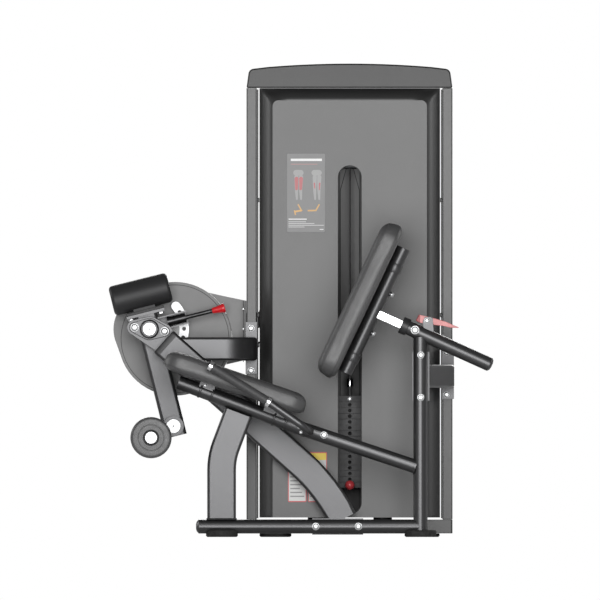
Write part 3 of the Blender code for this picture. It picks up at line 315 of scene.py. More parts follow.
def skin(name, points, material, body, around=True, along=False, smooth=40.0):
    """Make a grid of points (rows, columns, xyz) a closed smooth surface that rides on a body."""
    rows, columns = points.shape[:2]
    index = np.arange(rows * columns).reshape(rows, columns)
    down = np.roll(index, -1, 0) if along else index[1:]
    here = index if along else index[:-1]
    if around:
        right = np.roll(here, -1, 1)
        corner = np.roll(down, -1, 1)
    else:
        here, right, down, corner = here[:, :-1], here[:, 1:], down[:, :-1], down[:, 1:]
    faces = np.stack([here, right, corner, down], -1).reshape(-1, 4)
    mesh = bpy.data.meshes.new(name)
    mesh.from_pydata(points.reshape(-1, 3), [], faces.tolist())
    shape = bmesh.new()
    shape.from_mesh(mesh)
    bmesh.ops.remove_doubles(shape, verts=shape.verts, dist=0.000005)
    bmesh.ops.dissolve_degenerate(shape, dist=0.000005, edges=shape.edges)
    bmesh.ops.holes_fill(shape, edges=shape.edges, sides=0)
    bmesh.ops.recalc_face_normals(shape, faces=shape.faces)
    shape.to_mesh(mesh)
    shape.free()
    mesh.materials.append(material)
    mesh.shade_smooth()
    mesh.set_sharp_from_angle(angle=math.radians(smooth))
    piece = bpy.data.objects.new(name, mesh)
    scene.collection.objects.link(piece)
    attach(piece, body)
    return piece


def axes_of(direction):
    """Two unit vectors square to a direction, and the direction itself, as rows."""
    along = np.array(direction, float)
    along /= np.linalg.norm(along)
    helper = np.array([0.0, 0.0, 1.0]) if abs(along[2]) < 0.9 else np.array([1.0, 0.0, 0.0])
    across = np.cross(helper, along)
    across /= np.linalg.norm(across)
    return across, np.cross(along, across), along


def lathe(name, profile, at, direction, material, body, sides=40, facets=0, smooth=40.0):
    """Turn (radius, height) points about an axis through a point.

    A point of the surface is at + height * axis + radius * (cos a, sin a). With
    facets, the radius is divided by cos of the angle to the nearest flat, which
    gives a prism with that many sides.
    """
    across, up, along = axes_of(direction)
    radius, height = np.array(profile, float).T
    angle = np.linspace(0, 2 * np.pi, sides, endpoint=False)
    reach = np.repeat(radius[:, None], sides, 1)
    if facets:
        step = 2 * np.pi / facets
        reach = reach / np.cos((angle + step / 2) % step - step / 2)[None, :]
    points = (np.array(at, float) + height[:, None, None] * along
              + (reach * np.cos(angle))[..., None] * across
              + (reach * np.sin(angle))[..., None] * up)
    return skin(name, points, material, body, smooth=smooth)


def carried(name, path, section, side, material, body, closed=False, smooth=40.0):
    """Carry a section (u, v) along a path: point + u * side + v * (tangent x side)."""
    path = np.array(path, float)
    if closed:
        tangent = np.roll(path, -1, 0) - np.roll(path, 1, 0)
    else:
        tangent = np.gradient(path, axis=0)
    tangent /= np.linalg.norm(tangent, axis=1, keepdims=True)
    across = np.array(side, float) - tangent * (tangent @ np.array(side, float))[:, None]
    across /= np.linalg.norm(across, axis=1, keepdims=True)
    up = np.cross(tangent, across)
    section = np.array(section, float)
    if section.ndim == 2:
        section = np.repeat(section[None], len(path), 0)
    points = path[:, None] + section[..., :1] * across[:, None] + section[..., 1:] * up[:, None]
    return skin(name, points, material, body, along=closed, smooth=smooth)


def round_corners(wide, tall, radius, count=8):
    """Outline of a rounded rectangle: a quarter circle at each corner centre."""
    turn = np.linspace(0, np.pi / 2, count)
    parts = []
    for quarter, (sx, sy) in enumerate(((1, 1), (-1, 1), (-1, -1), (1, -1))):
        angle = turn + quarter * np.pi / 2
        parts.append(np.stack([sx * (wide / 2 - radius) + radius * np.cos(angle),
                               sy * (tall / 2 - radius) + radius * np.sin(angle)], 1))
    return np.concatenate(parts)


def falling(degrees, along, up=0.0):
    """A step along a line that falls towards +X by an angle, and square to it."""
    turn = math.radians(degrees)
    return np.array([along * math.cos(turn) + up * math.sin(turn), 0.0,
                     -along * math.sin(turn) + up * math.cos(turn)])


pivot = np.array(joint_at["leg_extension"]["pos_m"])
near_y = float(sum(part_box("rear_post")[k].y for k in (0, 1)) / 2)
spine_y = float(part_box("upper_link_tube")[0].y) + 0.0225

black_plastic = Finish("black_plastic", roughness=0.45)
black_plastic.set(colour=black_plastic.ramp(black_plastic.noise(60.0), (0.3, (0.012, 0.012, 0.013)),
                                            (0.7, (0.020, 0.020, 0.021))))
black_plastic.bump(black_plastic.noise(1400.0), 0.3, 0.0003)

# Plastic plug pressed into the open upper end of the spine tube.
spine_fall = 41.7
cap_steps = np.array([0.0, 0.0005, 0.0150, 0.0185, 0.0195])
cap_inset = np.array([0.0002, -0.0006, -0.0006, 0.0012, 0.0050])
plug = [round_corners(0.045 - 2 * i, 0.093 - 2 * i, 0.009 - i * 0.6) for i in cap_inset]
start = np.array([pivot[0], spine_y, pivot[2]]) + falling(spine_fall, 0.0795)
route = start - falling(spine_fall, 1.0) * cap_steps[:, None]
carried("spine_end_plug", route, np.array(plug), (0, 1, 0), black_plastic.material, "root")

# ---- weld beads ---------------------------------------------------------
# Stacked-coin beads where the tubes meet. The bead's radius swells and sinks
# along its length, like the frozen ripples of the weld pool.


def weld(name, corners, radius, body="root"):
    """Bead round a closed loop: radius * (1 + 0.12 sin(ripple)), 3.2 mm to a ripple."""
    loop = np.array(corners, float)
    ends = np.roll(loop, -1, 0)
    lengths = np.linalg.norm(ends - loop, axis=1)
    parts = [a + (b - a) * np.linspace(0, 1, max(2, int(long / 0.0011)), endpoint=False)[:, None]
             for a, b, long in zip(loop, ends, lengths)]
    path = np.concatenate(parts)
    run = np.linspace(0, lengths.sum(), len(path))
    swell = radius * (1 + 0.12 * np.sin(run * 2 * np.pi / 0.0032))
    angle = np.linspace(0, 2 * np.pi, 8, endpoint=False)
    section = swell[:, None, None] * np.stack([np.cos(angle), np.sin(angle)], 1)[None]
    middle = path.mean(0)
    flat = np.cross(path[len(path) // 3] - middle, path[0] - middle)
    carried(name, path, section, flat, frame_coat, body, closed=True)


leg_low, leg_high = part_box("front_leg")
foot_loop = round_corners(0.092, 0.045, 0.010, 5)
leg_x = float(leg_low.x) + 0.046
weld("leg_foot_weld", [(leg_x + u, near_y + v, leg_low.z + 0.0012) for u, v in foot_loop], 0.0028)

post_low, post_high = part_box("rear_post")
post_x = float(post_low.x + post_high.x) / 2
turn = np.linspace(0, 2 * np.pi, 48, endpoint=False)
rail_at = np.array([-0.0008, near_y, 0.3488])
ring = np.stack([np.full(48, post_x - 0.0222), near_y + 0.0200 * np.cos(turn),
                 0.0336 + 0.0200 * np.sin(turn)], 1)
weld("base_post_weld", ring, 0.0026)
weld("rail_post_weld", ring + np.array([0.0, 0.0, 0.1875]), 0.0026)

# ---- rubber feet and grips ----------------------------------------------
# Moulded rubber pads pressed on under both frames, and foamed rubber sleeves
# pushed over the two side handles, held between polished steel collars.
foot_rubber = Finish("foot_rubber", roughness=0.8, specular=0.3)
foot_rubber.set(colour=foot_rubber.ramp(foot_rubber.noise(90.0, 4.0), (0.3, (0.012, 0.012, 0.012)),
                                        (0.75, (0.030, 0.030, 0.029))))
foot_rubber.bump(foot_rubber.noise(700.0, 3.0), 0.4, 0.0005)
for foot in ("foot_near_front", "foot_near_rear", "foot_tower_front", "foot_tower_rear"):
    softened(foot, foot_rubber.material, 0.0015)

grip_rubber = Finish("grip_rubber", roughness=0.55, specular=0.45)
grip_rubber.set(colour=grip_rubber.ramp(grip_rubber.noise(240.0, 5.0), (0.3, (0.030, 0.030, 0.031)),
                                        (0.7, (0.052, 0.052, 0.053))))
grip_rubber.bump(grip_rubber.noise(1800.0, 2.0), 0.35, 0.0004)
polished = Finish("polished_steel", roughness=0.16, metallic=1.0)
polished.set(colour=polished.ramp(polished.noise(40.0), (0.3, (0.78, 0.78, 0.79)),
                                  (0.7, (0.90, 0.90, 0.91))),
             roughness=0.12 + polished.noise(900.0, 2.0) * 0.10)
for grip, side in (("near_grip", -1), ("far_grip", 1)):
    low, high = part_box(grip)
    y = float(low.y + high.y) / 2
    lean = math.atan2(0.1144, 0.1857)
    half = float(high.x - low.x) / 2 - 0.0148 * math.sin(lean)
    run = np.array([math.cos(lean), 0.0, -math.sin(lean)])
    middle = np.array([float(low.x + high.x) / 2, y, float(low.z + high.z) / 2])
    reach = half / math.cos(lean)
    ribs = np.linspace(0.0, 1.0, 121)
    # Long shallow rings, and a rounded bead at each end of the sleeve.
    swell = 0.0143 + 0.0004 * (1 - np.cos(ribs * 2 * np.pi * 30)) / 2
    swell[:3] = swell[-3:] = (0.0149, 0.0151, 0.0149)
    profile = [(0.0131, -reach)] + list(zip(swell, (2 * ribs - 1) * (reach - 0.0004)))
    profile += [(0.0131, reach)]
    sleeve = lathe(f"{grip}_sleeve", profile, middle, run, grip_rubber.material, "root")
    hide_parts(grip)
    for word, end in (("front", -1), ("rear", 1)):
        at = middle + run * end * (reach + 0.0068)
        collar = [(0.0130, -0.0064), (0.0168, -0.0064), (0.0177, -0.0054), (0.0177, 0.0054),
                  (0.0168, 0.0064), (0.0130, 0.0064)]
        lathe(f"{grip}_{word}_collar", collar, at, run, polished.material, "root", 48)

# ---- bolts, caps and washers --------------------------------------------
# Zinc-plated button-head screws with a hex socket, washers under them, and
# turned caps over the two pivots. They clamp the flanges and the pads' saddles.
bright_zinc = Finish("bright_zinc", roughness=0.3, metallic=0.55)
bright_zinc.set(colour=bright_zinc.ramp(bright_zinc.noise(160.0, 3.0), (0.25, (0.42, 0.425, 0.43)),
                                        (0.75, (0.52, 0.525, 0.53))),
                roughness=0.24 + bright_zinc.noise(700.0) * 0.16)
bright_zinc.bump(bright_zinc.noise(1500.0), 0.1, 0.0002)
socket_black = Finish("socket_black", roughness=0.6)
socket_black.set(colour=socket_black.ramp(socket_black.noise(400.0), (0.3, (0.03, 0.03, 0.03)),
                                          (0.7, (0.07, 0.07, 0.07))))


def screw(name, x, y, z, wide, body="root", direction=(0, -1, 0), tall=0.30):
    """Button head on a washer: a dome of revolution, then six flats down the socket.

    Rows of the socket use radius / cos(angle to the nearest flat) for a hexagon.
    """
    radius = wide / 2
    dome = np.linspace(0, np.pi / 2, 7)
    rows = [(radius * 1.0, 0.0), (radius * 1.0, 0.0010), (radius * 0.88, 0.0012)]
    rows += [(radius * (0.42 + 0.46 * math.cos(a)), 0.0014 + wide * tall * math.sin(a) * 0.62)
             for a in dome]
    top = rows[-1][1]
    angle = np.linspace(0, 2 * np.pi, 36, endpoint=False)
    hexed = 1 / np.cos((angle + np.pi / 6) % (np.pi / 3) - np.pi / 6)
    across, up, along = axes_of(direction)
    radii = np.array([r for r, _ in rows])[:, None] * np.ones(36)
    heights = np.array([h for _, h in rows] + [top, top - wide * 0.16, top - wide * 0.16])
    radii = np.concatenate([radii, [radius * 0.34 * hexed, radius * 0.33 * hexed, 0.0002 * hexed]])
    points = (np.array([x, y, z]) + heights[:, None, None] * along
              + (radii * np.cos(angle))[..., None] * across
              + (radii * np.sin(angle))[..., None] * up)
    return skin(name, points, bright_zinc.material, body, smooth=32)


near_face = float(post_low.y)
for name, x, y, z, wide in (
        ("bearing_screw_front", -0.5304, 0.0088, 0.6704, 0.0262),
        ("bearing_screw_rear", -0.4344, 0.0088, 0.6582, 0.0262),
        ("link_screw_upper", -0.1576, 0.0902, 0.6678, 0.0215),
        ("link_screw_lower", -0.1576, 0.0902, 0.5322, 0.0215),
        ("post_screw_upper", 0.3858, near_face, 0.5821, 0.0215),
        ("post_screw_lower", 0.3858, near_face, 0.4464, 0.0215),
        ("tower_screw_upper", 0.4690, 0.0902, 0.5920, 0.0205),
        ("tower_screw_lower", 0.4690, 0.0902, 0.4557, 0.0205),
        ("base_screw_front", 0.0498, near_face, 0.0336, 0.0230),
        ("base_screw_rear", 0.1861, near_face, 0.0336, 0.0230),
        ("seat_screw_front", -0.3042, -0.2882, 0.4848, 0.0120),
        ("rail_screw_1", -0.0037, near_face, 0.3507, 0.0110),
        ("rail_screw_2", 0.0021, near_face, 0.3350, 0.0110),
        ("rail_screw_3", 0.0245, near_face, 0.3500, 0.0120),
        ("rail_cap", 0.0760, near_face, 0.3261, 0.0220),
        ("sleeve_screw", 0.3675, near_face, 0.6624, 0.0266),
        ("lever_screw", 0.4053, -0.2785, 0.6925, 0.0170),
        ("belt_guard_screw_upper", -0.1819, 0.1675, 0.7296, 0.0090),
        ("belt_guard_screw_lower", -0.1819, 0.1675, 0.6656, 0.0090)):
    screw(name, x, y, z, wide)
back_lean = math.radians(25.2)
behind = np.array([math.cos(back_lean), 0.0, -math.sin(back_lean)])
for name, x, z, wide in (("back_screw_upper", 0.3010, 0.7712, 0.0190),
                         ("back_screw_lower", 0.2418, 0.6464, 0.0190),
                         ("back_screw_top", 0.3256, 0.8458, 0.0120)):
    screw(name, *(np.array([x, near_y, z]) - behind * 0.011), wide, "back_rest", behind, 0.60)
    boss = [(wide * 0.40, -0.012), (wide * 0.40, 0.0), (0.0001, 0.0)]
    lathe(f"{name}_spacer", [(0.0001, -0.012)] + boss, np.array([x, near_y, z]) - behind * 0.011,
          behind, frame_coat, "back_rest", 24)
screw("head_plate_screw", 0.1582, 0.1485, 0.4419, 0.0135, "weight_stack")


def pivot_cap(name, at, wide, thick, body):
    """Turned cap with a broad chamfer and a shallow centre dimple, facing the user's side."""
    r = wide / 2
    profile = [(r, 0.0), (r, thick * 0.55), (r * 0.93, thick), (r * 0.12, thick),
               (r * 0.09, thick - 0.0006), (0.0001, thick - 0.0012)]
    profile = [(0.0001, 0.0)] + profile
    return lathe(name, profile, at, (0, -1, 0), bright_zinc.material, body, 56, smooth=30)


swing_at = np.array(joint_at["roller_swing"]["pos_m"])
boss_y = float(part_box("roller_link")[1].y)
pivot_cap("shaft_cap", (pivot[0], -0.0162, pivot[2]), 0.043, 0.0045, "cam")
pivot_cap("swing_cap", (swing_at[0], 0.0364, swing_at[2]), 0.047, 0.0050, "swing_link")
roller_at = np.array(joint_at["roller_spin"]["pos_m"])

# ---- bearing plate trim, flange nuts ------------------------------------
# Hexagon nuts under the counterweight seat, on the studs of its flange.
arm_lean = 14.0
for word, side in (("front", -1), ("rear", 1)):
    spot = pivot + falling(-arm_lean, side * 0.049, 0.0463)
    lathe(f"weight_nut_{word}", [(0.0001, 0.0), (0.0075, 0.0), (0.0085, 0.0012), (0.0085, 0.0068),
                                 (0.0075, 0.0080), (0.0001, 0.0080)],
          (spot[0], 0.085, spot[2]), -falling(-arm_lean, 0.0, 1.0), bright_zinc.material,
          "arm", 36, facets=6, smooth=25)
    lathe(f"weight_stud_{word}", [(0.0001, -0.001), (0.0085, -0.001), (0.0085, 0.0055),
                                  (0.0075, 0.0065), (0.0001, 0.0065)],
          tuple(pivot + falling(-arm_lean, side * 0.049, 0.0640) + np.array([0, 0.085, 0])),
          falling(-arm_lean, 0.0, 1.0), bright_zinc.material, "arm", 36, facets=6, smooth=25)

# ---- weight tower -------------------------------------------------------
# Folded and welded sheet in a satin grey powder coat: floor frame, two deep
# uprights, an arched cap, and pressed shrouds that screw on front and back.
tower_coat = powder_coat("tower_coat", (0.085, 0.085, 0.085), (0.13, 0.13, 0.13), 0.46, 0.80, 1100.0)
cap_coat = powder_coat("cap_coat", (0.060, 0.060, 0.060), (0.10, 0.10, 0.10), 0.48, 0.75, 1100.0)
softened("tower_base", tower_coat, 0.0015)
softened("upright_front", tower_coat, 0.0022)
softened("upright_rear", tower_coat, 0.0022)
softened("top_cap", cap_coat, 0.0045, 50.0)
softened("rear_shroud", tower_coat, 0.0015)

shroud_low, shroud_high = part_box("front_shroud")
tower_low, tower_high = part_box("tower_base")
slot_x = float(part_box("selector_pin")[0].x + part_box("selector_pin")[1].x) / 2
slot_half, slot_low, slot_high = 0.0765 / 2, 0.0736, 1.1882
slot_mid = (slot_low + slot_high) / 2


def around_slot(outline):
    """Polar radius of a star-shaped outline about the slot's middle, at any angle."""
    offset = outline - np.array([slot_x, slot_mid])
    angle = np.unwrap(np.arctan2(offset[:, 1], offset[:, 0]))
    order = np.argsort(angle % (2 * np.pi))
    angle, radius = (angle % (2 * np.pi))[order], np.hypot(*offset.T)[order]
    return lambda at: np.interp(at, angle, radius, period=2 * np.pi)


def dense(outline, step=0.004):
    """Fill a closed outline with points no further apart than a step."""
    ends = np.roll(outline, -1, 0)
    return np.concatenate([a + (b - a) * np.linspace(0, 1, max(2, int(np.hypot(*(b - a)) / step)),
                                                     endpoint=False)[:, None]
                           for a, b in zip(outline, ends)])


def face_outline(inset, top_inset, radius):
    """Rounded door shape of the pressed shroud at one depth."""
    wide = float(shroud_high.x - shroud_low.x) - 2 * inset
    tall = float(shroud_high.z - shroud_low.z) - top_inset
    outline = round_corners(wide, tall, radius, 10)
    middle = np.array([float(shroud_high.x + shroud_low.x) / 2, shroud_low.z + tall / 2])
    outline = outline + middle
    across = np.clip(1 - ((outline[:, 0] - middle[0]) / (wide / 2)) ** 2, 0, 1)
    outline[:, 1] -= np.where(outline[:, 1] > middle[1], 0.45 * top_inset * across, 0.0)
    square = outline[:, 1] < shroud_low.z + radius
    outline[square, 1] = shroud_low.z
    outline[square, 0] = np.where(outline[square, 0] > middle[0], middle[0] + wide / 2,
                                  middle[0] - wide / 2)
    return dense(outline)


half_turn = np.linspace(0, np.pi, 25)
slot_outline = dense(np.concatenate([
    np.stack([slot_x + slot_half * np.cos(half_turn),
              slot_high - slot_half + slot_half * np.sin(half_turn)], 1),
    np.stack([slot_x - slot_half * np.cos(half_turn),
              slot_low + slot_half - slot_half * np.sin(half_turn)], 1)]), 0.006)

# The pressing runs from the side wall over the bevel to the flat face: its
# inset and depth follow a straight line whose two ends are eased by a cosine.
front_y, wall_y, bevel, top_bevel = float(shroud_low.y), 0.0985, 0.042, 0.036
ease = np.linspace(0, 1, 13)
shape = ease - 0.055 * np.sin(2 * np.pi * ease)
rings = [(0.0, 0.0, float(shroud_high.y), 0.004), (0.0, 0.0, wall_y + 0.002, 0.004)]
rings += [(bevel * e, top_bevel * e, wall_y + (front_y - wall_y) * s, 0.004 + 0.018 * e)
          for e, s in zip(ease, shape)]
every = [around_slot(face_outline(inset, top, radius)) for inset, top, _, radius in rings]
slot_polar = around_slot(slot_outline)
offsets = np.concatenate([face_outline(bevel, top_bevel, 0.022), slot_outline])
angles = np.unique(np.round(np.arctan2(offsets[:, 1] - slot_mid, offsets[:, 0] - slot_x)
                            % (2 * np.pi), 5))
aim = np.stack([np.cos(angles), np.sin(angles)], 1)


def shroud_ring(polar, y, shrink=0.0):
    """One ring of the shell, `shrink` nearer to the slot's middle."""
    flat = (polar(angles) - shrink)[:, None] * aim
    return np.stack([slot_x + flat[:, 0], np.full(len(angles), y), slot_mid + flat[:, 1]], 1)


# Over the top the depth follows a sine instead, so the bevel melts into the face.
shell = [shroud_ring(polar, ring[2]) for polar, ring in zip(every, rings)]
half_wide = float(shroud_high.x - shroud_low.x) / 2
centre_x = float(shroud_high.x + shroud_low.x) / 2
on_top = np.clip((half_wide - np.abs(shell[0][:, 0] - centre_x) - 0.035) / 0.05, 0, 1)
on_top = on_top ** 2 * (3 - 2 * on_top) * (shell[0][:, 2] > float(shroud_high.z) - 0.05)
for row, e, s in zip(shell[2:], ease, shape):
    soft = math.sin(e * math.pi / 2) ** 0.9
    row[:, 1] = wall_y + (front_y - wall_y) * (s * (1 - on_top) + soft * on_top)
shell += [shroud_ring(every[-1], front_y, 0.0020), shroud_ring(every[-1], front_y, 0.0060)]
shell += [shroud_ring(slot_polar, front_y, -0.0040), shroud_ring(slot_polar, front_y, -0.0012), shroud_ring(slot_polar, front_y + 0.0010),
          shroud_ring(slot_polar, front_y + 0.0030), shroud_ring(every[-1], front_y + 0.0030, 0.003)]
shell += [shroud_ring(every[1], wall_y + 0.0030, 0.0030),
          shroud_ring(every[0], float(shroud_high.y), 0.0030)]
panel = skin("front_shroud_pressing", np.array(shell), tower_coat, "root",
             along=True, smooth=24)
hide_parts("front_shroud")

# Black edge trim between the uprights and the shroud, held by small clips.
for word, low_x, high_x in (("front", float(tower_low.x) + 0.0330, float(shroud_low.x) - 0.0036),
                            ("rear", float(shroud_high.x) + 0.0030, float(tower_high.x) - 0.0329)):
    wide = high_x - low_x
    strip = round_corners(wide, 0.008, 0.0012, 4)
    middle = (low_x + high_x) / 2
    run = np.stack([np.full(40, middle), np.full(40, 0.1080), np.linspace(0.060, 1.432, 40)], 1)
    carried(f"edge_trim_{word}", run, strip, (1, 0, 0), black_plastic.material, "root")
    for count, z in enumerate((1.078, 0.710, 0.614)):
        clip = round_corners(0.0070, 0.006, 0.0012, 4)
        step = np.array([0.0, 0.0015, 0.0125, 0.0140])[:, None] * np.array([0, 0, 1.0])
        size = np.array([0.75, 1.0, 1.0, 0.75])[:, None, None] * clip[None]
        centre = float(shroud_low.x) - 0.0040 if word == "front" else float(shroud_high.x) + 0.0038
        carried(f"trim_clip_{word}_{count + 1}", np.array([centre, 0.1005, z - 0.007]) + step, size,
                (1, 0, 0), black_plastic.material, "root")

# ---- slot trim and inner shield -----------------------------------------
# A folded dark shield stands behind the stack; a thin lip lines the slot's edge.
# Its colour holds painted shade: darker towards the bottom, near-black lines along
# its two folds that taper together under the top of the slot, and a darker band outside them.
shield = Finish("shield_grey", roughness=0.55, metallic=0.4)
# Painted shade: near-black lines along the folds, drawn tapering together above z = 1.109, and a darker band
# outside the folds.
fold = (shield.x - slot_x).size()
taper = (shield.z - 1.109) * -0.274 + 0.0305
line = (fold - taper).size() < 0.0011
straight = (fold - 0.0305).size() < 0.0011
upper = shield.z > 1.109
fold_shade_lines = upper * line + (1 - upper) * straight
slot_side_shade = fold > 0.031
# Painted shade: the shield's colour darkens towards the bottom of the tower.
plain = shield.ramp(shield.z, (0.20, (0.045, 0.045, 0.045)), (0.85, (0.14, 0.14, 0.14)))
shield.set(colour=shield.mix(fold_shade_lines, shield.mix(slot_side_shade, plain, (0.05, 0.05, 0.05)),
                             (0.006, 0.006, 0.006)),
           roughness=0.50 + shield.noise(60.0) * 0.12)
shield.bump(shield.noise(1100.0), 0.2, 0.0003)
wide = np.array([-0.112, -0.110, 0.110, 0.112])
sheet_y = 0.2700
section = [(-0.110, 0.0), (-0.0325, 0.0), (-0.0305, -0.0018), (-0.0285, 0.0), (0.0285, 0.0),
           (0.0305, -0.0018), (0.0325, 0.0), (0.110, 0.0), (0.110, -0.0020), (-0.110, -0.0020)]
run = np.stack([np.full(60, slot_x), np.full(60, sheet_y), np.linspace(0.070, 1.1780, 60)], 1)
carried("stack_shield", run, [(u, v) for u, v in section], (1, 0, 0), shield.material,
        "root", smooth=20)

lip_path = slot_outline
lip_path = np.stack([lip_path[:, 0], np.full(len(lip_path), front_y + 0.0022), lip_path[:, 1]], 1)
inward = np.stack([slot_x - lip_path[:, 0], np.zeros(len(lip_path)),
                   np.clip(lip_path[:, 2], slot_low + slot_half, slot_high - slot_half)
                   - lip_path[:, 2]], 1)
inward /= np.linalg.norm(inward, axis=1, keepdims=True)
lip = [(0.0002, -0.0032), (0.0012, -0.0030), (0.0014, 0.0090), (0.0002, 0.0090)]
points = np.array([lip_path + inward * u + np.array([0, 1.0, 0]) * v for u, v in lip])
skin("slot_lip", points.transpose(1, 0, 2), black_plastic.material, "root", along=True)

# ---- guards -------------------------------------------------------------
# Two moulded covers in grained grey plastic. A groove runs round the cam
# guard's face where the cover meets its rim, dented and painted near black as
# painted shade, and screws hold the seam.
moulded = Finish("moulded_grey", roughness=0.5, specular=0.6)
px, pz = (moulded.x + 0.4008), (moulded.z - 0.6342)
from_centre = (px * px + pz * pz) ** 0.5
# Painted shade: the groove is painted near black as well as dented.
groove_shade = ((from_centre - 0.1725).size() < 0.0010) * (moulded.y < 0.1680)
moulded_plain = moulded.ramp(moulded.noise(5.0, 4.0), (0.25, (0.185, 0.185, 0.185)),
                             (0.75, (0.215, 0.215, 0.215)))
moulded.set(colour=moulded.mix(groove_shade, moulded_plain, (0.012, 0.012, 0.012)),
            roughness=0.48 + moulded.noise(30.0) * 0.10)
moulded.bump(moulded.noise(1500.0, 3.0) * 0.3 + (1 - groove_shade), 0.35, 0.0006)
softened("cam_guard", moulded.material, 0.0018, 40.0)
softened("belt_guard", moulded.material, 0.0018, 40.0)
seam = np.array([[-0.1819, 0.0, 0.5600], [-0.1819, 0.0, 0.7560]])
run = seam[0] + (seam[1] - seam[0]) * np.linspace(0, 1, 30)[:, None] + np.array([0, 0.1672, 0])
carried("belt_guard_seam", run, round_corners(0.0022, 0.0010, 0.0003, 3), (1, 0, 0),
        black_plastic.material, "root")

# ---- shaft, index plate, lever arm --------------------------------------
# Ground steel shaft and cam, zinc-plated index plate with drilled holes, and
# the welded lever arm with its rocker, red knob and turned counterweight.


def machined(name, colour, roughness, scale=500.0, metallic=1.0, grain=0.12):
    """Bare or plated metal: colour drifts a little, fine scratches vary the gloss."""
    metal = Finish(name, metallic=metallic)
    drift = metal.noise(12.0, 4.0)
    scratch = metal.noise(scale, 2.0, (1.0, 0.12, 1.0))
    metal.set(colour=metal.ramp(drift, (0.25, [c * 0.85 for c in colour]), (0.75, colour)),
              roughness=roughness + scratch * grain)
    metal.bump(scratch, 0.12, 0.0002)
    return metal.material


ground_steel = machined("ground_steel", (0.62, 0.63, 0.65), 0.22)
chrome = machined("chrome_plate", (0.86, 0.87, 0.88), 0.06, 900.0, 0.9, 0.06)
cast_iron = Finish("cast_iron", metallic=0.5, specular=0.4)
cast_iron.set(colour=cast_iron.ramp(cast_iron.noise(22.0, 5.0), (0.25, (0.050, 0.050, 0.051)),
                                    (0.75, (0.082, 0.082, 0.083))),
              roughness=0.50 + cast_iron.noise(80.0) * 0.15)
cast_iron.bump(cast_iron.noise(600.0, 4.0), 0.5, 0.0008)
softened("cam_shaft", ground_steel, 0.0006)

index_zinc = Finish("index_zinc", metallic=0.45, specular=0.5)
ix, iz = (index_zinc.x - float(pivot[0])), (index_zinc.z - float(pivot[2]))
reach = (ix * ix + iz * iz) ** 0.5
arc_band = reach > 0.0965
zinc_plain = index_zinc.ramp(index_zinc.noise(150.0), (0.25, (0.46, 0.465, 0.47)),
                             (0.75, (0.56, 0.565, 0.57)))
index_zinc.set(colour=index_zinc.mix(arc_band, (0.16, 0.16, 0.16), zinc_plain),
               roughness=0.32 + index_zinc.noise(600.0) * 0.12)
index_zinc.bump(index_zinc.noise(1300.0), 0.12, 0.0002)
softened("index_plate", index_zinc.material, 0.0006)
softened("lock_pin", bright_zinc.material, 0.0004)

weight_coat = powder_coat("weight_coat", (0.030, 0.030, 0.031), (0.07, 0.07, 0.07), 0.50, 0.30,
                          800.0)
softened("counterweight", weight_coat, 0.0010)

# The rocker is black-oxided; its far end carries a flared plastic knob.
rocker_finish = Finish("black_oxide", metallic=0.8, specular=0.5)
rocker_at = np.array(joint_at["release_rocker"]["pos_m"])
lean = math.radians(arm_lean)
along_arm = ((rocker_finish.x - float(rocker_at[0])) * math.cos(lean)
             + (rocker_finish.z - float(rocker_at[2])) * math.sin(lean))
knob_mask = along_arm > (0.209 - 0.066)
steel_plain = rocker_finish.ramp(rocker_finish.noise(60.0), (0.3, (0.030, 0.030, 0.031)),
                                 (0.7, (0.060, 0.060, 0.062)))
rocker_finish.set(colour=rocker_finish.mix(knob_mask, steel_plain, (0.62, 0.012, 0.018)),
                  metallic=(1 - knob_mask) * 0.8,
                  roughness=0.26 + rocker_finish.noise(300.0) * 0.10)
rocker_finish.bump(rocker_finish.noise(1200.0), 0.1, 0.0002)
softened("release_lever", rocker_finish.material, 0.0)

# ---- roller -------------------------------------------------------------
# Moulded foam roller in a vinyl skin, with a plastic end ring, a hub cup and
# a turned cap on the end of its axle.
vinyl = Finish("black_vinyl", roughness=0.5, specular=1.0)
grain = vinyl.cells(520.0)
vinyl_plain = vinyl.ramp(vinyl.noise(26.0, 5.0), (0.25, (0.040, 0.040, 0.041)),
                         (0.75, (0.052, 0.052, 0.053)))
# Painted shade: the creases between grain cells are painted darker.
grain_crease_shade = grain < 0.07
vinyl.set(colour=vinyl.mix(grain_crease_shade * 0.5, vinyl_plain, (0.035, 0.035, 0.036)),
          roughness=0.42 + vinyl.noise(90.0, 3.0) * 0.16)
vinyl.bump(grain.math("MINIMUM", 0.18), 0.45, 0.0012)
roller_low, roller_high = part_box("roller_pad")
r = float(roller_high.x - roller_low.x) / 2
near, far = float(roller_low.y), float(roller_high.y)
middle_y, half = (near + far) / 2, (far - near) / 2
edge = 0.010
corner = np.linspace(0, np.pi / 2, 7)
# Half profile from the hub cup out over the end face, the rounded edge and
# along the barrel, which crowns by a millimetre; mirrored for the other end.
end_face = [(0.0140, half - 0.020), (0.0235, half - 0.020), (0.0250, half - 0.019),
            (0.0250, half - 0.0012), (0.0262, half), (0.0395, half), (0.0405, half - 0.0016),
            (0.0420, half - 0.0016), (0.0430, half)]
rounded = [(r - 0.0008 - edge + edge * math.sin(a), half - edge + edge * math.cos(a))
           for a in corner]
barrel = [(r - 0.0008 + 0.0008 * math.sin(math.pi * k / 12), (half - edge) * (1 - k / 12))
          for k in range(1, 13)]
upper_half = end_face + rounded + barrel
profile = upper_half + [(radius, -h) for radius, h in reversed(upper_half[:-1])]
foam = lathe("roller_cover", profile + [(0.0140, half - 0.020)],
             (roller_at[0], middle_y, roller_at[2]), (0, -1, 0), vinyl.material,
             "roller", 72, smooth=38)
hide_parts("roller_pad")
axle_y = float(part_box("roller_link")[0].y)
pivot_cap("axle_cap", (roller_at[0], near + 0.0120, roller_at[2]), 0.0400, 0.0225, "swing_link")

# ---- seat and back pads -------------------------------------------------
# Foam on a plywood board, covered in black grained vinyl that is stretched
# over it and stapled underneath. The cover swells most away from its seams.


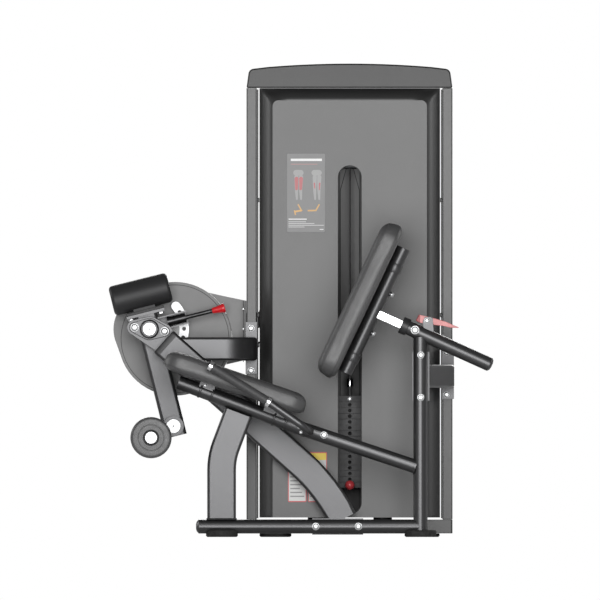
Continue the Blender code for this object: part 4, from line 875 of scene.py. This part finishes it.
def slab(long, wide, thick, corner, edge):
    """Closed cushion block, its top at z = 0, starting at x = 0.

    Rings of a rounded rectangle: inset and height run round a quarter circle at
    the top and bottom edges, and the top closes in rings towards its middle.
    """
    turn = np.linspace(0, np.pi / 2, 7)
    inset = list(edge * (1 - np.sin(turn))) + list((edge * (1 - np.sin(turn)))[::-1])
    level = list(-edge * (1 - np.cos(turn))) + list((-thick + edge * (1 - np.cos(turn)))[::-1])
    rings = []
    for inward, z in zip(inset, level):
        outline = round_corners(long - 2 * inward, wide - 1.1 * inward, corner - inward * 0.6, 9)
        rings.append(np.column_stack([outline[:, 0] + long / 2, outline[:, 1],
                                      np.full(len(outline), z)]))
    return np.array(rings)


def stuffed(name, node, size, corner, edge, place, cap, steps=20):
    """Voxel-remesh a slab and swell it with cloth pressure, its board side held.

    The slab starts a little inside the solid it stands for, and no point moves
    further than a cap, so the pad keeps to the room that it has.
    """
    long, wide, thick = size
    trim = 0.0035
    rings = slab(long - 2 * trim, wide - 2 * trim, thick - trim, corner, edge)
    rings += np.array([trim, 0.0, -trim])
    matrix = np.array(place)
    rings = rings @ matrix[:3, :3].T + matrix[:3, 3]
    pad = skin(name, rings, vinyl.material, body_of[node], smooth=60)
    remesh = pad.modifiers.new("even", "REMESH")
    remesh.mode = "VOXEL"
    remesh.voxel_size = 0.0055
    even = bpy.data.meshes.new_from_object(
        pad.evaluated_get(bpy.context.evaluated_depsgraph_get()))
    pad.modifiers.clear()
    pad.data = even
    count = len(even.vertices)
    start = np.zeros(count * 3)
    even.vertices.foreach_get("co", start)
    start = start.reshape(-1, 3)
    height = (start - matrix[:3, 3]) @ matrix[:3, 2]
    held = pad.vertex_groups.new(name="board")
    held.add([int(k) for k in np.flatnonzero(height < -thick + 0.014)], 1.0, "REPLACE")
    cloth = pad.modifiers.new("cover", "CLOTH")
    cloth.settings.use_pressure = True
    cloth.settings.uniform_pressure_force = 3.0
    cloth.settings.effector_weights.gravity = 0.0
    cloth.settings.vertex_group_mass = "board"
    cloth.settings.quality = 4
    cloth.settings.tension_stiffness = cloth.settings.compression_stiffness = 12.0
    cloth.collision_settings.use_collision = False
    cloth.point_cache.frame_start = 1
    cloth.point_cache.frame_end = steps
    for step in range(1, steps + 1):
        scene.frame_set(step)
    done = bpy.data.meshes.new_from_object(
        pad.evaluated_get(bpy.context.evaluated_depsgraph_get()))
    moved = np.zeros(count * 3)
    done.vertices.foreach_get("co", moved)
    pad.modifiers.clear()
    bpy.data.meshes.remove(done)
    scene.frame_set(1)
    shift = moved.reshape(-1, 3) - start
    length = np.linalg.norm(shift, axis=1, keepdims=True)
    shift *= np.minimum(1.0, cap / np.maximum(length, 1e-9))
    even.vertices.foreach_set("co", (start + shift).ravel())
    even.materials.clear()
    even.materials.append(vinyl.material)
    even.shade_smooth()
    calm = pad.modifiers.new("calm", "SMOOTH")
    calm.factor = 0.5
    calm.iterations = 14
    finer = pad.modifiers.new("smooth", "SUBSURF")
    finer.levels = finer.render_levels = 1
    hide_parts(node)
    return pad


def seam_round(name, pad, node, size, corner, level, place, radius=0.0011):
    """A sewn seam laid on the cover: an outline at one height, drawn to the nearest surface."""
    long, wide, _ = size
    outline = dense(round_corners(long, wide, corner, 12), 0.004)
    matrix = np.array(place)
    local = np.column_stack([outline[:, 0] + long / 2, outline[:, 1],
                             np.full(len(outline), level)])
    world_path = local @ matrix[:3, :3].T + matrix[:3, 3]
    tree = BVHTree.FromObject(pad, bpy.context.evaluated_depsgraph_get())
    found = [tree.find_nearest(Vector(point)) for point in world_path]
    path = np.array([at + normal * radius * 0.35 for at, normal, _, _ in found])
    for _ in range(3):
        path = (np.roll(path, 1, 0) + 2 * path + np.roll(path, -1, 0)) / 4
    angle = np.linspace(0, 2 * np.pi, 8, endpoint=False)
    run = np.linspace(0, 2 * np.pi * len(path) * 0.5, len(path))
    swell = radius * (1 + 0.10 * np.sin(run))[:, None, None]
    section = swell * np.stack([np.cos(angle), np.sin(angle)], 1)[None]
    carried(name, path, section, matrix[:3, 2], vinyl.material, body_of[node],
            closed=True)


seat_tilt, seat_size = 18.9, (0.486, 0.380, 0.066)
seat_start = Vector((-0.4008, near_y, 0.5974)) + Vector(falling(seat_tilt, -0.0265))
seat_place = Matrix.Translation(seat_start) @ Matrix.Rotation(math.radians(seat_tilt), 4, "Y")
seat = stuffed("seat_cushion", "seat_pad", seat_size, 0.050, 0.028, seat_place, 0.003)
seam_round("seat_seam_upper", seat, "seat_pad", seat_size, 0.050, -0.013, seat_place)
seam_round("seat_seam_lower", seat, "seat_pad", seat_size, 0.050, -0.055, seat_place)

back_tilt, back_size = 25.2, (0.543, 0.360, 0.071)
rise = Vector((math.sin(math.radians(back_tilt)), 0.0, math.cos(math.radians(back_tilt))))
back_start = Vector((0.04624, near_y, 0.5395)) - rise * 0.011
back_place = (Matrix.Translation(back_start)
              @ Matrix.Rotation(math.radians(back_tilt - 90), 4, "Y"))
back = stuffed("back_cushion", "back_pad", back_size, 0.056, 0.026, back_place, 0.003)
seam_round("back_seam_front", back, "back_pad", back_size, 0.056, -0.014, back_place)
seam_round("back_seam_rear", back, "back_pad", back_size, 0.056, -0.059, back_place)

# ---- back rest hardware -------------------------------------------------
# A chromed square bar slides in the frame's sleeve and is locked by a cast
# red squeeze lever on two ears. A black collar bushes the sleeve's mouth.
lever_red = Finish("cast_red", roughness=0.38, specular=0.5)
lx, lz = lever_red.x - 0.4053, lever_red.z - 0.6925
nose = (lever_red.x < 0.3835)
lever_plain = lever_red.ramp(lever_red.noise(40.0), (0.25, (0.50, 0.16, 0.16)),
                             (0.75, (0.62, 0.22, 0.22)))
lever_red.set(colour=lever_red.mix(nose, lever_plain, (0.24, 0.006, 0.008)),
              roughness=0.34 + lever_red.noise(200.0) * 0.12)
lever_red.bump(lever_red.noise(900.0, 3.0), 0.2, 0.0004)
softened("back_release_lever", lever_red.material, 0.0018)

slide_tilt = 24.25
sleeve_from = np.array([0.3246, near_y, 0.6790])
# The bar is 30 mm square and its front end is coped round the back tube.
bar_half, bar_out, bar_chamfer, tube_reach = 0.015, 0.1950, 0.0010, 0.0228
bar_along, bar_up = falling(slide_tilt, 1.0), falling(slide_tilt, 0.0, 1.0)
tube_up = np.array(rise)
tube_at = (np.array(back_start)
           + np.array([rise.z, 0.0, -rise.x]) * (back_size[2] + tube_reach))


def coped(section):
    """How far along the bar each line meets the tube: |q + t a| = R, the larger root."""
    start = (sleeve_from + section[:, :1] * np.array([0.0, 1.0, 0.0])
             + section[:, 1:] * bar_up - tube_at)
    q = start - (start @ tube_up)[:, None] * tube_up
    a = bar_along - (bar_along @ tube_up) * tube_up
    half = q @ a
    return (-half + np.sqrt(half ** 2 - (a @ a) * ((q * q).sum(1) - tube_reach ** 2))) / (a @ a)


square = round_corners(2 * bar_half, 2 * bar_half, 0.004)
rings = []
for section, reach in ((square, coped(square)), (square, bar_out - bar_chamfer),
                       (square * (1 - bar_chamfer / bar_half), bar_out)):
    reach = np.broadcast_to(reach, len(section))
    rings.append(sleeve_from + section[:, :1] * np.array([0.0, 1.0, 0.0])
                 + section[:, 1:] * bar_up + reach[:, None] * bar_along)
bar = skin("slider_bar", np.array(rings), chrome, body_of["back_slider"])
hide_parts("back_slider")
bush = [(0.0160, -0.0012), (0.0262, -0.0012), (0.0275, 0.0002), (0.0275, 0.0210), (0.0262, 0.0225),
        (0.0229, 0.0225)]
bush_faces = [(0.0228, 0.0005)] + [(r, h) for r, h in bush[1:]] + [(0.0228, 0.0225)]
lathe("sleeve_bush", bush_faces, sleeve_from, falling(slide_tilt, 1.0), black_plastic.material,
      "root", 48)

# Saddle clamps that hold the pads: a strap across the tube with its screw.
for word, x, z, tilt, body, radius in (("seat_front", -0.3000, 0.4633, 20.7, "root", 0.0228),
                                       ("seat_rear", -0.0650, 0.3740, 20.7, "root", 0.0228)):
    axis = falling(tilt, 1.0)
    for end in (-1, 1):
        at = np.array([x, near_y, z]) + axis * end * 0.020
        ring = [(radius, -0.0035), (radius + 0.0022, -0.0035), (radius + 0.0030, -0.0025),
                (radius + 0.0030, 0.0025), (radius + 0.0022, 0.0035), (radius, 0.0035)]
        lathe(f"{word}_clamp_{'front' if end < 0 else 'rear'}", ring, at, axis, frame_coat,
              body, 48)
up_back = Vector((rise.x, 0.0, rise.z))
out_back = Vector((rise.z, 0.0, -rise.x))
for count, height in enumerate((0.085, 0.400)):
    at = back_start + rise * 0.011 + up_back * height + out_back * (0.071 + 0.0225 + 0.0003)
    ring = [(0.0226, -0.0150), (0.0244, -0.0150), (0.0250, -0.0140), (0.0250, 0.0140),
            (0.0244, 0.0150), (0.0226, 0.0150)]
    clamp = lathe(f"back_clamp_{count + 1}", ring, tuple(at), tuple(up_back), frame_coat,
                  "back_rest", 48)

# ---- weight stack and its cable -----------------------------------------
# Fifteen cast plates under a head plate.
# The lift cable is steel rope in a black nylon coat, crimped to the stem.
for node in sorted(frame["nodes"]):
    if node.startswith("weight_plate") or node == "head_plate":
        softened(node, cast_iron.material, 0.0010 if node != "head_plate" else 0.0006)
nylon = Finish("pulley_nylon", roughness=0.42, specular=0.5)
nylon.set(colour=nylon.ramp(nylon.noise(50.0), (0.3, (0.030, 0.030, 0.032)),
                            (0.7, (0.050, 0.050, 0.053))))
nylon.bump(nylon.noise(900.0), 0.2, 0.0003)
softened("turn_pulley", nylon.material, 0.0006)
softened("top_pulley", nylon.material, 0.0006)
softened("guide_frame", machined("guide_steel", (0.050, 0.051, 0.053), 0.35), 0.0006)
knob_red = Finish("knob_red", roughness=0.3, coat=0.3)
shaft_part = knob_red.y > 0.1440
knob_red.set(colour=knob_red.mix(shaft_part, knob_red.ramp(
    knob_red.noise(60.0), (0.3, (0.50, 0.045, 0.055)), (0.7, (0.58, 0.060, 0.070))),
    (0.6, 0.6, 0.62)), roughness=0.28 + knob_red.noise(300.0) * 0.1,
    metallic=shaft_part * 0.9)
knob_red.bump(knob_red.noise(1200.0), 0.08, 0.0002)
softened("selector_pin", knob_red.material, 0.0)

cable = Finish("cable_coat", roughness=0.35, specular=0.5)
cable.set(colour=cable.ramp(cable.noise(200.0), (0.3, (0.010, 0.010, 0.010)),
                            (0.7, (0.022, 0.022, 0.023))))
cable.bump(cable.noise(1600.0), 0.15, 0.0002)
frame["nodes"]["drive_cable"].data.materials.clear()
frame["nodes"]["drive_cable"].data.materials.append(cable.material)
rope_low, rope_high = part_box("lift_cable")
rope_x = float(rope_low.x + rope_high.x) / 2
rope_y = float(rope_low.y + rope_high.y) / 2
heights = np.linspace(float(rope_low.z), float(rope_high.z), 60)
rope_angle = np.linspace(0, 2 * np.pi, 14, endpoint=False)
rope = carried("lift_rope", np.stack([np.full(60, rope_x), np.full(60, rope_y), heights], 1),
               0.0029 * np.stack([np.cos(rope_angle), np.sin(rope_angle)], 1), (1, 0, 0),
               cable.material, "root")
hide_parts("lift_cable")
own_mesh(rope)
stem_profile = [(0.0064, 0.480), (0.0095, 0.481), (0.0100, 0.484), (0.0100, 0.505),
                (0.0085, 0.508), (0.0064, 0.509)]
lathe("cable_crimp", stem_profile, (rope_x, rope_y, 0.0), (0, 0, 1), polished.material,
      "weight_stack", 36)

# ---- placard and labels -------------------------------------------------
# Printed polyester sheets on the shroud: plain pictures of legs and seats and
# grey bars stand where a maker would print text. No words are drawn.


def sheet(name, low_x, high_x, low_z, high_z, finish, thick=0.0006):
    """A thin sticker with rounded corners, laid on the shroud's flat face."""
    outline = round_corners(high_x - low_x, high_z - low_z, 0.004, 5)
    middle = np.array([(low_x + high_x) / 2, (low_z + high_z) / 2])
    flat = outline + middle
    rows = []
    for y, scale in ((0.0, 1.0), (thick * 0.7, 1.0), (thick, 0.997), (thick, 0.5)):
        spot = middle + (flat - middle) * scale
        rows.append(np.stack([spot[:, 0], np.full(len(spot), front_y - y), spot[:, 1]], 1))
    return skin(name, np.array(rows), finish.material, "root", smooth=20)


class Print(Finish):
    """Flat printing inks: shapes are masks of x and z, laid over each other in order."""

    def __init__(self, name, paper, left, low, wide, tall):
        super().__init__(name, roughness=0.42, specular=0.5)
        self.u = (self.x - left) / wide
        self.v = (self.z - low) / tall
        self.colour = self.ramp(self.noise(30.0), (0.3, [c * 0.96 for c in paper]), (0.7, paper))

    def lay(self, mask, ink):
        self.colour = self.mix(mask, self.colour, ink)

    def bar(self, u0, u1, v0, v1, ink):
        self.lay(self.u.between(u0, u1) * self.v.between(v0, v1), ink)

    def limb(self, start, end, width, ink, tip=None):
        """A rounded stroke from one point to another, tapering to its tip."""
        (ax, ay), (bx, by) = start, end
        aspect = 0.0484 and 1.0
        dx, dy = bx - ax, by - ay
        long = dx * dx + dy * dy
        px, py = self.u - ax, self.v - ay
        along = ((px * dx + py * dy) / long).math("MAXIMUM", 0.0).math("MINIMUM", 1.0)
        qx, qy = px - along * dx, (py - along * dy) * 2.06 * aspect
        apart = (qx * qx + qy * qy) ** 0.5
        tip = width if tip is None else tip
        self.lay(apart < along * (tip - width) + width, ink)

    def done(self):
        self.set(colour=self.colour)
        self.bump(self.noise(1500.0), 0.05, 0.0001)


placard = Print("placard_print", (0.175, 0.175, 0.176), -0.0424, 0.976, 0.1216, 0.251)
skin_grey, thigh_red, orange = (0.30, 0.30, 0.30), (0.42, 0.10, 0.11), (0.60, 0.34, 0.10)
placard.bar(0.10, 0.92, 0.905, 0.935, (0.75, 0.75, 0.75))
placard.bar(0.10, 0.80, 0.862, 0.868, (0.50, 0.20, 0.20))
for left in (0.0, 0.48):
    placard.limb((0.24 + left, 0.755), (0.36 + left, 0.755), 0.075, skin_grey)
    placard.limb((0.25 + left, 0.70), (0.25 + left, 0.55), 0.055, skin_grey, 0.042)
    placard.limb((0.37 + left, 0.70), (0.36 + left, 0.55), 0.055, skin_grey, 0.042)
    placard.limb((0.25 + left, 0.53), (0.26 + left, 0.42), 0.042, skin_grey, 0.024)
    placard.limb((0.36 + left, 0.53), (0.37 + left, 0.42), 0.042, skin_grey, 0.024)
placard.limb((0.25, 0.68), (0.25, 0.55), 0.050, thigh_red, 0.036)
placard.limb((0.37, 0.68), (0.36, 0.55), 0.050, thigh_red, 0.036)
placard.limb((0.72, 0.62), (0.73, 0.56), 0.020, thigh_red, 0.014)
placard.limb((0.86, 0.62), (0.85, 0.54), 0.022, thigh_red, 0.014)
placard.limb((0.30, 0.345), (0.38, 0.275), 0.022, orange)
placard.limb((0.38, 0.275), (0.24, 0.262), 0.024, orange)
placard.limb((0.20, 0.268), (0.22, 0.225), 0.020, orange)
placard.limb((0.84, 0.345), (0.76, 0.275), 0.022, orange)
placard.limb((0.76, 0.275), (0.56, 0.272), 0.020, orange)
placard.bar(0.04, 0.52, 0.158, 0.170, (0.80, 0.80, 0.80))
for row, reach in enumerate((0.50, 0.72, 0.97, 0.46)):
    placard.bar(0.04, reach, 0.126 - row * 0.022, 0.134 - row * 0.022, (0.55, 0.55, 0.55))
placard.bar(0.86, 0.96, 0.028, 0.038, (0.70, 0.70, 0.70))
placard.done()
sheet("placard", -0.0424, 0.0792, 0.976, 1.227, placard)

for word, left, right, header in (("left", -0.0392, 0.0200, (0.60, 0.04, 0.05)),
                                  ("right", 0.0248, 0.0856, (0.85, 0.62, 0.04))):
    label = Print(f"{word}_label_print", (0.62, 0.62, 0.61), left, 0.112, right - left, 0.160)
    ink = (0.55, 0.05, 0.06)
    label.bar(0.03, 0.97, 0.84, 0.985, header)
    for row in range(9):
        label.bar(0.12, 0.88 - 0.12 * (row % 3), 0.10 + row * 0.078, 0.125 + row * 0.078,
                  (0.22, 0.22, 0.22))
    for u0, u1, v0, v1 in ((0.0, 0.045, 0.0, 1.0), (0.955, 1.0, 0.0, 1.0), (0.0, 1.0, 0.0, 0.02),
                           (0.0, 1.0, 0.98, 1.0)):
        label.bar(u0, u1, v0, v1, ink)
    label.done()
    sheet(f"{word}_label", left, right, 0.112, 0.272, label)
